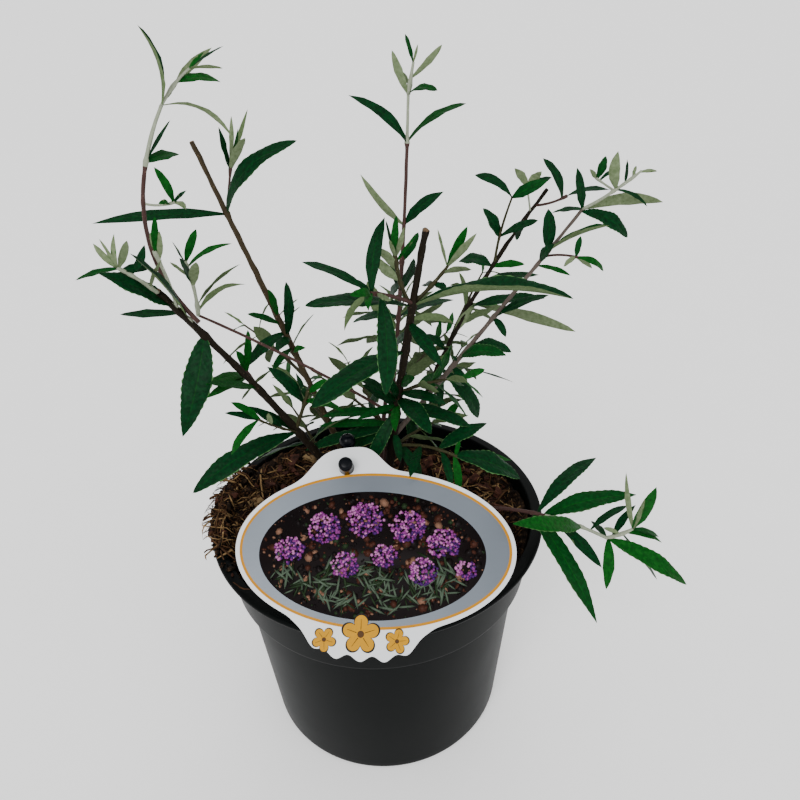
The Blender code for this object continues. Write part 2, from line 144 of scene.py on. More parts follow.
@dataclass(frozen=True)
class Spray:
    """A sparse branch that the seeded rule grows: millimetres, with opposite pairs of leaves."""

    shoot: str
    share: float
    tip: tuple
    pairs: int
    length: float
    width: float
    tone: Tone = DARK
    bow: tuple = (0, 0, 2)
    foot_radius: float = 0.9
    tip_radius: float = 0.45


LIMBS = (
    Limb("left_bough", (-5, 1, 122), (-79, -30, 270), (2, 8, -3), 2.1, 1.3, OLD,
         ("left_end_tuft", "left_end_tips", "left_fork_tips", "left_droop_leaf", "left_stem_leaves",
          "left_inner_leaves", "left_low_tuft", "left_low_leaf")),
    Limb("back_left_bough", (-3, 5, 122), (-72, 44, 308), (2, -6, 0), 1.8, 1.05, OLD,
         ("back_left_long_leaf", "back_left_broad_leaf", "back_left_tip", "back_left_low_tuft")),
    Limb("centre_bough", (2, -5, 122), (26, -8, 281), (-1, 0, 2), 2.3, 1.35, OLD,
         ("centre_left_leaf", "centre_left_tuft", "centre_right_tuft", "centre_right_leaf", "front_leaf",
          "front_low_leaf", "heart_right", "heart_left", "pot_right_tuft")),
    Limb("leader", (1, 2, 126), (22, 16, 331), (3, 4, 0), 1.3, 0.6, YOUNG,
         ("leader_low_left_leaf", "leader_low_right_leaf", "leader_high_left_leaf",
          "leader_high_right_leaf", "leader_tip"), 0.905),
    Limb("back_right_bough", (6, 1, 121), (91, 55, 276), (-11, -5, 8), 1.5, 0.75, OLD,
         ("back_right_thin_tuft", "back_right_leaf", "back_right_low_tuft", "right_inner_leaves")),
    Limb("right_bough", (11, -5, 180), (98, 18, 278), (2, 0, 2), 1.3, 0.7, YOUNG,
         ("right_tip", "right_upper_tuft", "right_middle_tuft", "right_low_leaf")),
    Limb("left_shoot", (-67, -25, 254), (-67, -19, 335), (-13, -2, -2), 0.95, 0.65, YOUNG,
         ("left_top_tuft", "left_top_leaf", "left_arching_leaf", "left_node_tuft", "left_shoot_tuft"),
         0.79),
    Limb("spray_stem", (6, -4, 122), (105, -50, 145), (4, 8, 7), 1.15, 0.75, YOUNG,
         ("spray_up_leaf", "spray_middle_leaf", "spray_down_leaf", "spray_tip", "spray_end_tips"), 0.72),
    Limb("back_bough", (2, 6, 122), (12, 50, 190), (-2, -4, 4), 1.5, 1.0, YOUNG,
         ("back_tuft",)),
)

SHOOTS = (
    Shoot("left_top_stem", "left_shoot", 1.00, (-56, -14, 346), (0, 0, 1), 0.6, 0.4, SILVER),
    Shoot("left_side_shoot", "left_shoot", 0.62, (-68, -22, 302), (0, 0, -1), 0.5, 0.4, SILVER),
    Shoot("outer_shoot", "left_bough", 0.85, (-90, -36, 283), (0, -1, 4), 1.0, 0.6, SILVER),
    Shoot("thin_stem", "centre_bough", 0.42, (-70, -12, 251), (0, 2, 1), 0.8, 0.6),
    Shoot("left_mid_shoot", "thin_stem", 1.00, (-70, -17, 277), (1, 0, 0), 0.8, 0.6, SILVER),
    Shoot("left_front_shoot", "left_bough", 0.94, (-76, -34, 288), (1, 0, -1), 0.8, 0.6, SILVER),
    Shoot("low_left_twig", "left_bough", 0.44, (-50, -24, 205), (0, 0, -1), 0.6, 0.4, GREEN),
    Shoot("inner_left_twig", "left_bough", 0.47, (-57, 2, 216), (0, 0, -1), 0.7, 0.5),
    Shoot("upright_shoot", "back_left_bough", 0.84, (-55, 34, 300), (0, 0, 0), 0.7, 0.5),
    Shoot("crown_twig", "left_bough", 0.45, (-28, -10, 210), (0, 0, 0), 1.0, 0.7, GREEN),
    Shoot("centre_left_twig", "centre_bough", 0.79, (2, -24, 262), (0, 0, 1), 0.9, 0.7),
    Shoot("centre_left_shoot", "centre_bough", 0.78, (13, -12, 273), (-1, 0, -2), 1.0, 0.7, GREEN),
    Shoot("centre_right_shoot", "centre_bough", 0.79, (36, -2, 263), (0, 0, -1), 1.0, 0.7, GREEN),
    Shoot("leader_top", "leader", 0.99, (24, 14, 341), (0, 0, 0), 0.8, 0.5, SILVER),
    Shoot("thin_right_shoot", "back_right_bough", 0.77, (70, 36, 279), (-1, 0, 0), 0.7, 0.5, GREEN),
    Shoot("silver_thread", "back_right_bough", 0.93, (79, 46, 281), (0, 0, 0), 0.5, 0.4, SILVER),
    Shoot("upper_side_shoot", "back_right_bough", 0.95, (98, 44, 276), (0, 0, -1), 0.7, 0.5),
    Shoot("right_top_stem", "right_bough", 1.00, (119, 10, 296), (0, 0, -1), 0.8, 0.5, SILVER),
    Shoot("right_back_twig", "right_top_stem", 0.55, (105, 26, 289), (0, 0, 0), 0.6, 0.4, SILVER),
    Shoot("right_low_twig", "right_bough", 0.79, (93, 2, 262), (0, 0, 1), 0.6, 0.5),
    Shoot("pot_twig", "centre_bough", 0.31, (38, -24, 178), (0, 0, 3), 0.8, 0.6, GREEN),
    Shoot("spray_side", "spray_stem", 0.99, (114, -54, 154), (0, 0, -1), 0.8, 0.6, SILVER),
)

LEAVES = {shoot: tuple(Leaf(*row) for row in rows) for shoot, rows in {
    "left_bough": (
        (0.85, (-76, -50, 216), 12.1, -3.9, -5), (0.95, (-96, -40, 283), 9.1, 2.1, 5),
        (0.93, (-99, -20, 257), 4.4, 0.6, 5), (0.44, (-83, -31, 172), 11.1, 4.6, 5),
        (0.43, (-58, -6, 201), 4.5, 1.5, 15), (0.64, (-65, -38, 233), 4.7, 1.3, -15, MID)),
    "back_left_bough": (
        (0.84, (-116, 22, 281), 5.6, 5.4, -10), (0.84, (-25, 30, 310), 8.7, 9.0, 5),
        (0.54, (-35, 14, 253), 5.5, 2.8, 50), (0.59, (-44, 18, 248), 4.0, 0.9, 20, BRIGHT),
        (0.57, (-54, 12, 239), 3.9, 0.7, -5, MID), (0.55, (-57, 6, 215), 6.1, 4.7, 0),
        (0.54, (-42, 4, 223), 6.0, 0.9, 0), (0.51, (-45, 6, 212), 4.3, 1.7, 10, MID),
        (0.59, (-32, 30, 237), 1.7, 0.5, -90, PALE), (0.57, (-31, 28, 234), 1.7, 0.5, -90, PALE),
        (0.50, (-29, 10, 221), 3.6, 1.9, 25, BRIGHT)),
    "centre_bough": (
        (0.64, (-25, -34, 216), 11.8, 4.5, 10), (0.43, (-23, -14, 198), 5.1, 2.8, 5, MID),
        (0.39, (-26, -4, 186), 4.5, 3.4, 0, MID), (0.44, (-2, -15, 172), 6.6, 2.2, 0),
        (0.37, (-18, 0, 165), 7.3, 2.9, 5), (0.46, (-7, -18, 198), 4.0, 0.9, 5, MID),
        (0.46, (10, -24, 194), 4.6, 1.1, 20, BRIGHT), (0.48, (25, -36, 200), 8.7, 3.2, 0),
        (0.50, (33, -24, 207), 6.5, 2.1, -10), (0.46, (46, -12, 186), 7.8, 2.8, -15),
        (0.53, (20, -16, 217), 5.4, 0.9, 30, MID), (0.47, (-8, -14, 220), 6.5, 1.3, 10),
        (0.45, (-4, -6, 209), 6.1, 0.7, 20), (0.48, (6, -24, 225), 4.3, 0.9, -60),
        (0.37, (12, -16, 171), 4.4, 1.1, -20), (0.33, (22, -14, 159), 6.2, 2.3, -5),
        (0.35, (-15, -2, 155), 6.1, 2.3, 0), (0.38, (-34, 2, 168), 6.6, 2.5, 10),
        (0.78, (83, -31, 258), 11.0, 5.6, -40, DARK, 0.95), (0.78, (-24, -28, 260), 9.1, 2.9, 20),
        (0.73, (30, -34, 232), 6.0, 2.0, 5), (0.74, (36, -20, 245), 4.1, 3.4, -110, MID),
        (0.72, (24, -18, 235), 4.2, 0.9, -10), (0.70, (12, 6, 222), 4.3, 0.7, -40)),
    "leader": (
        (0.90, (-2, 14, 330), 5.3, 5.0, -5), (0.90, (45, 14, 325), 4.9, 3.3, -15, MID),
        (0.73, (1, 14, 299), 3.9, -2.2, 105, PALE), (0.73, (36, 14, 290), 6.3, 3.0, 0),
        (0.99, (33, 10, 331), 4.2, 2.4, -5, MID), (0.99, (16, 18, 345), 3.6, -1.9, 130, PALE),
        (0.65, (25, 16, 272), 4.3, 0.9, 55, MID), (0.58, (22, 6, 264), 6.4, 0.6, 95),
        (0.58, (12, 20, 257), 5.0, 0.6, 35), (0.52, (43, 30, 232), 6.3, 2.2, -25),
        (0.52, (-7, 34, 221), 6.3, 2.3, 10)),
    "back_right_bough": (
        (0.76, (47, 46, 245), 8.1, 3.3, 10), (0.76, (63, 40, 243), 3.7, 0.4, 115, MID),
        (0.76, (78, 36, 246), 4.2, 1.9, 5, BRIGHT), (0.72, (89, 50, 234), 5.3, 1.3, -10),
        (0.90, (73, 34, 259), 4.0, 0.7, 35), (0.64, (85, 20, 235), 7.4, 2.5, -15),
        (0.65, (103, 24, 214), 6.2, 4.3, -110, PALE), (0.46, (54, 14, 173), 9.0, 5.3, -10),
        (0.46, (33, 6, 185), 4.8, 1.0, -25), (0.51, (28, 24, 217), 6.0, 1.3, 15),
        (0.56, (54, 30, 230), 5.3, 0.8, -120, PALE)),
    "right_bough": (
        (0.38, (66, 0, 218), 8.2, 3.9, -20), (0.34, (62, -8, 221), 7.2, 4.4, 0, MID),
        (0.30, (69, 4, 199), 2.8, 1.0, -45), (0.30, (45, -4, 203), 4.9, 1.1, -5),
        (0.33, (38, -2, 219), 2.1, 0.0, -35), (0.52, (83, 6, 243), 6.5, 2.2, -25),
        (0.52, (63, 0, 226), 3.8, 1.1, 0), (0.99, (117, 10, 267), 7.8, 4.5, 5),
        (1.00, (86, 24, 275), 4.2, 1.0, 15), (1.00, (128, 4, 284), 6.0, 6.0, -105, PALE),
        (1.00, (93, 16, 297), 5.0, 0.8, -5), (0.81, (81, 12, 281), 6.3, 1.0, 0),
        (0.81, (106, 4, 275), 5.8, 1.8, -45, MID, 0.9), (0.77, (83, 4, 268), 4.8, 1.8, 45),
        (0.75, (92, 6, 252), 3.2, 1.2, -10, BRIGHT)),
    "left_shoot": (
        (1.00, (-68, -26, 361), 3.6, 3.0, 90, DARK, 0.9), (1.00, (-46, -6, 320), 3.5, 5.1, -55, PALE, 0.6),
        (0.79, (-65, -18, 330), 2.5, 0.4, -15), (0.79, (-65, -14, 317), 5.2, 1.5, 5, MID)),
    "spray_stem": (
        (0.68, (114, 2, 152), 7.9, 4.8, -15), (0.71, (124, -30, 153), 10.0, 3.8, -15, MID),
        (0.88, (57, -62, 169), 8.1, 4.2, 0, BRIGHT), (0.76, (100, -60, 137), 6.4, 2.4, -15),
        (0.66, (97, -72, 114), 9.0, 7.8, -5, MID), (0.92, (118, -36, 152), 5.0, 1.3, -40),
        (1.00, (102, -64, 127), 5.5, 3.3, -5, BRIGHT), (1.00, (142, -60, 122), 8.4, 4.4, 0, BRIGHT),
        (0.99, (102, -34, 142), 3.9, 0.7, 10)),
    "left_top_stem": (
        (0.54, (-47, -8, 340), 4.3, 2.3, 5, BRIGHT), (0.54, (-49, -4, 351), 3.2, 1.7, -115, PALE),
        (0.97, (-44, -10, 352), 1.7, 0.4, -10), (0.97, (-44, -18, 346), 2.1, 0.8, -70, PALE),
        (0.97, (-50, -16, 351), 1.5, 0.7, 30, BRIGHT), (0.40, (-65, -18, 337), 1.5, 0.0, -10, PALE)),
    "left_side_shoot": (
        (0.96, (-72, -26, 316), 3.3, 1.7, 0, BRIGHT), (0.96, (-63, -22, 306), 1.8, 0.6, 10),
        (0.78, (-72, -30, 304), 2.3, 1.5, -50, BRIGHT), (0.96, (-63, -28, 301), 2.4, 1.5, -120, PALE)),
    "outer_shoot": (
        (0.18, (-81, -46, 292), 5.8, 1.6, 20, DARK, 0.6), (0.84, (-80, -30, 289), 3.9, -1.3, 0),
        (0.94, (-81, -28, 279), 3.7, 0.7, 20), (0.98, (-106, -36, 279), 3.1, 1.0, 5, MID),
        (1.00, (-97, -34, 292), 2.5, -0.9, 145, PALE), (1.00, (-88, -36, 296), 2.3, -1.4, -180, PALE),
        (0.98, (-86, -30, 291), 3.3, -0.9, -130, PALE), (1.00, (-93, -38, 295), 2.1, 0.0, 125, PALE),
        (0.61, (-72, -40, 287), 2.6, 0.5, -50, PALE)),
    "left_mid_shoot": (
        (0.96, (-63, -18, 290), 3.6, 0.0, 65, BRIGHT), (0.88, (-51, -14, 282), 3.3, 2.6, -10, BRIGHT),
        (0.88, (-72, -22, 287), 1.9, 0.0, 35), (0.59, (-70, -24, 281), 3.7, 0.5, -35),
        (0.54, (-64, -24, 279), 4.2, 0.0, -65, PALE), (0.68, (-75, -20, 278), 1.9, 0.5, 90, PALE),
        (0.18, (-50, -8, 271), 4.4, 1.7, -70, MID), (0.06, (-47, -20, 267), 4.4, 3.8, -75, MID)),
    "left_front_shoot": (
        (0.95, (-72, -38, 302), 2.8, 0.0, 70, BRIGHT), (0.94, (-76, -34, 295), 2.2, 0.0, 155, PALE),
        (0.86, (-72, -36, 296), 2.9, 0.0, -150, PALE)),
    "low_left_twig": (
        (0.99, (-63, -28, 212), 3.6, 0.7, 10), (0.92, (-60, -26, 216), 3.9, 1.5, 10, BRIGHT),
        (0.40, (-54, -14, 205), 4.9, 0.7, 20), (0.99, (-63, -30, 191), 4.5, 2.3, 10, BRIGHT),
        (0.70, (-45, -24, 208), 2.9, 0.0, -120, PALE)),
    "inner_left_twig": (
        (0.96, (-53, 2, 236), 4.1, 0.8, 55, BRIGHT), (0.96, (-59, -2, 228), 4.4, 0.9, 15, BRIGHT),
        (0.92, (-67, -34, 230), 5.0, 1.5, -20, BRIGHT), (0.92, (-67, -38, 226), 4.9, 2.1, -20, BRIGHT)),
    "upright_shoot": (
        (0.90, (-57, 30, 317), 4.6, 0.0, 60), (0.90, (-46, 26, 313), 4.2, 0.9, -80, PALE),
        (0.98, (-45, 38, 322), 3.1, -0.6, 160, MID), (0.98, (-52, 36, 320), 2.6, 0.0, 160, PALE),
        (0.98, (-49, 30, 316), 2.0, 0.0, 90, BRIGHT)),
    "crown_twig": (
        (0.67, (-46, -4, 220), 7.5, 1.4, 25), (0.94, (-19, -12, 216), 3.9, 0.9, 5, BRIGHT),
        (0.74, (-12, -22, 205), 4.6, 3.1, -10, BRIGHT), (0.94, (-32, -8, 211), 2.2, 0.0, 20),
        (0.78, (-34, 0, 214), 3.8, 0.6, 45)),
    "centre_left_twig": (
        (0.96, (-24, -22, 276), 5.7, 2.6, 15), (0.96, (9, -30, 295), 6.5, -4.6, 50),
        (0.77, (6, -42, 225), 8.5, 3.9, -10), (1.00, (-4, -18, 266), 3.4, 0.6, 15),
        (1.00, (-6, -38, 268), 3.9, 2.8, -35, BRIGHT), (1.00, (1, -40, 262), 3.6, 1.9, 15, BRIGHT),
        (1.00, (-9, -34, 251), 4.3, 3.1, 110, BRIGHT), (0.86, (10, -38, 265), 2.5, 0.0, -105, PALE)),
    "centre_left_shoot": (
        (0.77, (6, -18, 279), 4.2, 1.0, 95, PALE), (0.60, (5, -8, 271), 4.5, -2.0, 130, PALE),
        (0.98, (14, -14, 290), 3.2, 0.0, 20, BRIGHT), (0.96, (10, -10, 287), 1.9, 0.0, 35),
        (0.96, (17, -16, 286), 2.6, 0.0, -180, PALE), (0.90, (22, -18, 284), 1.9, 0.0, 10, BRIGHT),
        (0.95, (11, -16, 281), 2.4, 0.0, 90, PALE), (0.55, (11, 2, 249), 4.6, 0.7, -60)),
    "centre_right_shoot": (
        (0.98, (44, -2, 280), 4.2, 0.0, 40, BRIGHT), (0.98, (47, -8, 279), 3.4, 0.0, -115, PALE),
        (0.98, (32, 2, 278), 2.0, 0.0, 115, PALE), (0.82, (45, -10, 264), 3.5, 1.3, -95, PALE),
        (0.58, (35, -6, 255), 4.1, 0.0, -5), (0.53, (27, 8, 251), 4.7, 0.7, -20)),
    "leader_top": (
        (0.50, (35, 12, 347), 2.9, -0.8, -100, PALE), (0.97, (21, 14, 351), 2.7, 0.0, 25, MID),
        (1.00, (26, 16, 347), 1.2, 0.0, 165, PALE), (0.27, (20, 18, 337), 1.9, 0.0, 115, PALE)),
    "thin_right_shoot": (
        (1.00, (53, 40, 289), 5.0, 3.6, -5), (1.00, (85, 30, 288), 6.3, 1.8, 15, MID),
        (0.42, (57, 38, 274), 6.7, 1.5, 0), (0.42, (82, 32, 269), 5.2, 1.3, -5),
        (0.00, (66, 42, 247), 2.3, 0.0, -25)),
    "silver_thread": (
        (0.96, (73, 48, 289), 4.5, 0.9, 110, PALE), (0.96, (85, 44, 288), 4.5, 0.9, -115, PALE),
        (0.85, (91, 48, 284), 4.5, 1.5, -5)),
    "upper_side_shoot": (
        (0.84, (86, 48, 293), 5.2, 3.6, 0), (0.96, (117, 40, 279), 5.0, 2.2, -20)),
    "right_top_stem": (
        (0.58, (110, 16, 303), 4.9, -3.0, 145, PALE), (0.73, (115, 18, 299), 2.5, -0.6, -65),
        (0.97, (125, 8, 296), 1.8, 0.8, -105, PALE), (0.85, (118, 14, 297), 2.0, 0.0, -140, PALE),
        (0.58, (123, 8, 281), 2.6, 2.2, -5)),
    "right_back_twig": (
        (0.96, (109, 28, 298), 4.6, 0.8, 40, MID), (0.80, (114, 26, 293), 2.6, 0.6, -25),
        (0.96, (103, 30, 292), 2.4, 0.0, 115, PALE)),
    "right_low_twig": (
        (0.96, (94, 4, 271), 3.1, 0.0, 20, MID), (0.96, (86, -2, 260), 3.1, 0.7, 115, PALE),
        (0.96, (106, 4, 254), 3.7, 2.7, 5, BRIGHT), (0.96, (102, 8, 254), 2.6, 0.7, -80, PALE)),
    "pot_twig": (
        (0.98, (66, -14, 166), 4.7, 1.9, -5, BRIGHT), (0.96, (38, -32, 163), 4.2, 1.1, -10, BRIGHT),
        (0.77, (34, -36, 169), 4.3, 1.1, -15), (0.98, (39, -24, 187), 2.6, 0.0, 35, BRIGHT),
        (0.72, (54, -10, 186), 7.9, 2.5, -15), (0.94, (68, -26, 164), 12.4, 3.3, -20),
        (0.45, (15, -40, 180), 4.7, 1.1, 15)),
    "spray_side": (
        (0.62, (137, -42, 107), 3.4, 1.1, -15), (0.97, (119, -58, 181), 5.7, 1.0, 10, BRIGHT),
        (0.25, (117, -46, 161), 4.9, 0.7, -45), (0.76, (130, -52, 142), 3.8, 2.1, -15, BRIGHT),
        (1.00, (129, -50, 144), 3.3, 1.4, -15, MID), (1.00, (109, -48, 182), 2.9, -1.8, 125, PALE),
        (1.00, (114, -60, 177), 2.4, 0.0, 115, PALE), (0.55, (102, -50, 152), 2.4, 0.9, 130, PALE)),
}.items()}

SPRAYS = (
    Spray("back_bough", 0.96, (22, 84, 210), 4, 34, 8.5),
    Spray("back_bough", 0.55, (-12, 70, 178), 3, 36, 9),
    Spray("back_bough", 0.75, (44, 66, 196), 3, 32, 8, MID),
    Spray("back_left_bough", 0.25, (-44, 56, 180), 4, 34, 9),
    Spray("back_left_bough", 0.42, (-62, 44, 218), 3, 30, 8),
    Spray("back_right_bough", 0.22, (52, 60, 190), 4, 34, 9),
    Spray("back_right_bough", 0.5, (62, 62, 232), 3, 28, 7.5),
    Spray("leader", 0.42, (4, 44, 226), 3, 30, 8),
    Spray("leader", 0.3, (34, 36, 206), 3, 32, 8.5),
    Spray("left_bough", 0.3, (-40, 18, 184), 3, 32, 8.5),
    Spray("centre_bough", 0.3, (36, 8, 178), 3, 32, 9),
    Spray("centre_bough", 0.36, (-24, 18, 200), 3, 30, 8.5),
    Spray("centre_bough", 0.5, (42, -8, 210), 3, 26, 7.5, MID),
)

UP_AND_FRONT = np.array((0.0, -0.5, 0.85))


def unit(vectors: Array) -> Array:
    """Vectors at length 1, along their last axis."""
    return vectors / np.linalg.norm(vectors, axis=-1, keepdims=True)


def bearings(count: int) -> Array:
    """Angles evenly spread over a circle."""
    return np.arange(count) * TAU / count


def ways(angle: Array) -> Array:
    """Unit directions in the flat at angles, along a last axis of two."""
    return np.stack([np.cos(angle), np.sin(angle)], axis=-1)


def quads(index: Array) -> Array:
    """Quads between neighbours in a grid of indices, (rows - 1, columns - 1, 4)."""
    return np.stack([index[:-1, :-1], index[:-1, 1:], index[1:, 1:], index[1:, :-1]], axis=-1)


def ring_faces(rows: int, columns: int) -> Array:
    """Quads between rings of points that turn counter-clockwise about the way the rings follow on."""
    index = np.arange(rows * columns).reshape(rows, columns)
    return quads(np.column_stack([index, index[:, 0]])).reshape(-1, 4)


def fan_faces(centre: int, ring: Array, outwards: bool) -> Array:
    """Triangles from a centre point to a closed ring of points.

    Args:
        centre: Index of the centre.
        ring: Indices of the ring, counter-clockwise.
        outwards: True where they face the side from which the ring is seen so.

    Returns:
        The triangles, as indices.
    """
    following = np.roll(ring, -1)
    pair = (ring, following) if outwards else (following, ring)
    return np.stack([np.full(len(ring), centre), *pair], axis=-1)


def at_height(line: Array, height: float) -> Array:
    """Points of a flat line, all at one height."""
    return np.column_stack([line, np.full(len(line), height)])


def waves(chance: Chance, angle: Array, along: Array, count: int, turns: int, pitch: float) -> Array:
    """Uneven relief between about -1 and 1: the mean of sines of whole turns of the angle plus a steady
    climb along the length, each with its own phase.

    Args:
        chance: Seeded random numbers.
        angle: Angle about the middle line.
        along: Distance along it.
        count: Number of sines.
        turns: Most turns of the angle in one sine.
        pitch: Shortest distance along for one turn.

    Returns:
        The relief at each point.
    """
    total = np.zeros(np.broadcast(angle, along).shape)
    for turn, climb, phase in zip(chance.integers(1, turns + 1, count), chance.uniform(0, 1, count),
                                  chance.uniform(0, TAU, count)):
        total += np.sin(turn * angle + climb * TAU * along / pitch + phase)
    return total / math.sqrt(count)


class Form:
    """Points and faces of a piece, gathered from whole arrays."""

    def __init__(self) -> None:
        """Start with nothing."""
        self.points: list[Array] = []
        self.faces: list[Array] = []
        self.slots: list[Array] = []
        self.uv: list[Array] = []
        self.rims: list[Array] = []
        self.total = 0

    def add(self, points: Array, faces: list, slots: list, uv: Array | None = None,
            rim: Array | None = None) -> None:
        """Add one skin.

        Args:
            points: Its points, (count, 3).
            faces: Arrays of faces, as indices into those points.
            slots: For each array, one material index or one for each face.
            uv: A (count, 2) place on the pattern for each point.
            rim: True for each point on a sharp edge.
        """
        self.points.append(points)
        self.uv.append(np.zeros((len(points), 2)) if uv is None else uv)
        self.rims.append(np.zeros(len(points), bool) if rim is None else rim)
        for group, slot in zip(faces, slots):
            self.faces.append(group + self.total)
            self.slots.append(np.broadcast_to(slot, len(group)))
        self.total += len(points)

    def tube(self, rings: Array, ends: object, slots: tuple = (0, 0, 0)) -> None:
        """Add rings of points as a skin that a fan closes at either end.

        Args:
            rings: The points, (rings, around, 3), turning counter-clockwise about the way they run.
            ends: The middles of the two fans.
            slots: Material indices of the first fan, the bands and the last fan.
        """
        count, around, _ = rings.shape
        total = count * around
        ring = np.arange(around)
        self.add(np.concatenate([rings.reshape(-1, 3), ends]),
                 [fan_faces(total, ring, False), ring_faces(count, around),
                  fan_faces(total + 1, ring + total - around, True)], slots)

    def piece(self, name: str, materials: list, smooth: bool = True) -> bpy.types.Object:
        """Make the object, at the origin, with faces that part at its sharp edges.

        Args:
            name: The object's name.
            materials: Its materials, in the order of the slots.
            smooth: True for a curved piece, whose faces shade into each other.

        Returns:
            The new object.
        """
        points = np.concatenate(self.points)
        faces = [face for group in self.faces for face in group.tolist()]
        mesh = bpy.data.meshes.new(name)
        mesh.from_pydata(points.tolist(), [], faces)
        mesh.polygons.foreach_set("material_index", np.concatenate(self.slots).astype(np.int32))
        mesh.polygons.foreach_set("use_smooth", np.full(len(faces), smooth))
        corners = np.empty(len(mesh.loops), np.int32)
        mesh.loops.foreach_get("vertex_index", corners)
        layer = mesh.uv_layers.new(name="leaf_map")
        layer.data.foreach_set("uv", np.concatenate(self.uv)[corners].ravel())
        rim = np.concatenate(self.rims)
        if rim.any():
            ends = np.empty(2 * len(mesh.edges), np.int32)
            mesh.edges.foreach_get("vertices", ends)
            sharp = rim[ends.reshape(-1, 2)].all(axis=1)
            mesh.attributes.new("sharp_edge", "BOOLEAN", "EDGE").data.foreach_set("value", sharp)
        for material in materials:
            mesh.materials.append(material)
        mesh.update()
        made = bpy.data.objects.new(name, mesh)
        bpy.context.scene.collection.objects.link(made)
        return made


def settle(piece: bpy.types.Object, nodes: tuple = ()) -> None:
    """Let a piece ride on the plant's body, and let it stand for nodes of the frame.

    Args:
        piece: The piece.
        nodes: The nodes that it replaces.
    """
    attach(piece, BODY)
    if nodes:
        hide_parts(*nodes)
    LOG.info("%s: %d faces", piece.name, len(piece.data.polygons))


class Graph:
    """A material's node tree, with short calls for the nodes that the finishes share."""

    def __init__(self, name: str) -> None:
        """Start a material, with its shader and its coordinates at hand.

        Args:
            name: The material's name.
        """
        self.material = bpy.data.materials.new(name)
        self.material.use_nodes = True
        self.tree = self.material.node_tree
        self.shader = self.tree.nodes["Principled BSDF"]
        self.places = self.tree.nodes.new("ShaderNodeTexCoord").outputs

    def node(self, kind: str, settings: dict | None = None, **inputs: object) -> bpy.types.Node:
        """Add a node.

        Args:
            kind: Its type.
            settings: Its settings by name.
            inputs: Values or sockets for its inputs, by name, or by number after an underscore.

        Returns:
            The node.
        """
        made = self.tree.nodes.new(kind)
        for key, value in (settings or {}).items():
            setattr(made, key, value)
        for key, value in inputs.items():
            socket = made.inputs[int(key[1:]) if key[1:].isdigit() else key.replace("_", " ")]
            if isinstance(value, Socket):
                self.tree.links.new(value, socket)
            else:
                socket.default_value = value
        return made

    def noise(self, scale: float, detail: float = 3, place: object = None) -> Socket:
        """Noise on the object's own coordinates, in cells for each metre."""
        where = place or self.places["Object"]
        return self.node("ShaderNodeTexNoise", Vector=where, Scale=scale, Detail=detail).outputs["Fac"]

    def stretched(self, scale: tuple) -> Socket:
        """The object's own coordinates, scaled along each axis."""
        return self.node("ShaderNodeMapping", Vector=self.places["Object"], Scale=scale).outputs["Vector"]

    def clipped(self, value: Socket, low: float, high: float) -> Socket:
        """How far a value is from one level to another, kept within 0 and 1."""
        return self.node("ShaderNodeMapRange", Value=value, From_Min=low, From_Max=high).outputs["Result"]

    def maths(self, operation: str, first: object, second: object = 0.0) -> Socket:
        """One arithmetic step on two values or sockets."""
        return self.node("ShaderNodeMath", {"operation": operation}, _0=first, _1=second).outputs[0]

    def blend(self, share: object, low: object, high: tuple) -> Socket:
        """A colour a share of the way from one, which may be a socket, to another."""
        first, last = (low if isinstance(low, Socket) else (*low, 1)), (*high, 1)
        return self.node("ShaderNodeMix", {"data_type": "RGBA"}, _0=share, _6=first, _7=last).outputs[2]

    def steps(self, value: Socket, stops: tuple) -> Socket:
        """A ramp of colours.

        Args:
            value: What picks the place on it.
            stops: Its (place, colour) stops.

        Returns:
            The colour.
        """
        ramp = self.node("ShaderNodeValToRGB", _0=value)
        elements = ramp.color_ramp.elements
        elements.remove(elements[1])
        elements[0].position = stops[0][0]
        elements[0].color = (*stops[0][1], 1)
        for place, colour in stops[1:]:
            elements.new(place).color = (*colour, 1)
        return ramp.outputs["Color"]

    def colour(self, source: Socket) -> None:
        """Give the shader its base colour."""
        self.tree.links.new(source, self.shader.inputs["Base Color"])

    def gloss(self, level: float) -> None:
        """Set how strongly the surface mirrors."""
        self.shader.inputs["Specular IOR Level"].default_value = level

    def rough(self, source: object, low: float, high: float) -> None:
        """Let roughness run from low to high with a socket."""
        made = self.node("ShaderNodeMapRange", Value=source, To_Min=low, To_Max=high)
        self.tree.links.new(made.outputs["Result"], self.shader.inputs["Roughness"])

    def bump(self, height: object, depth: float, strength: float = 1.0) -> None:
        """Add relief on top of any that is there already.

        Args:
            height: The relief, from 0 to 1.
            depth: Its depth in metres.
            strength: How much of it shows.
        """
        made = self.node("ShaderNodeBump", Height=height, Distance=depth, Strength=strength)
        socket = self.shader.inputs["Normal"]
        if socket.is_linked:
            self.tree.links.new(socket.links[0].from_socket, made.inputs["Normal"])
        self.tree.links.new(made.outputs["Normal"], socket)


@dataclass(frozen=True)
class LeafFinish:
    """One side of a leaf: two near colours in soft patches, side veins in slanting rows and fine puckers."""

    name: str
    low: tuple
    high: tuple
    roughness: float
    pucker: float
    slant: float = 0.32
    veins: float = 84.0

    def make(self) -> bpy.types.Material:
        """Make the material.

        Returns:
            The material.
        """
        graph = Graph(self.name)
        patches = graph.clipped(graph.noise(620, 4), 0.30, 0.70)
        graph.colour(graph.blend(patches, self.low, self.high))
        graph.rough(graph.noise(420, 2), self.roughness - 0.08, self.roughness + 0.08)
        place = graph.node("ShaderNodeSeparateXYZ", Vector=graph.places["UV"]).outputs
        beside = graph.maths("ABSOLUTE", graph.maths("SUBTRACT", place["X"], 0.5))
        climb = graph.maths("SUBTRACT", place["Y"], graph.maths("MULTIPLY", beside, self.slant))
        veins = graph.maths("SINE", graph.maths("MULTIPLY", climb, self.veins))
        graph.bump(veins, self.pucker * MM, 0.15)
        graph.bump(graph.noise(520, 4), 2.2 * self.pucker * MM)
        graph.gloss(0.05)
        return graph.material


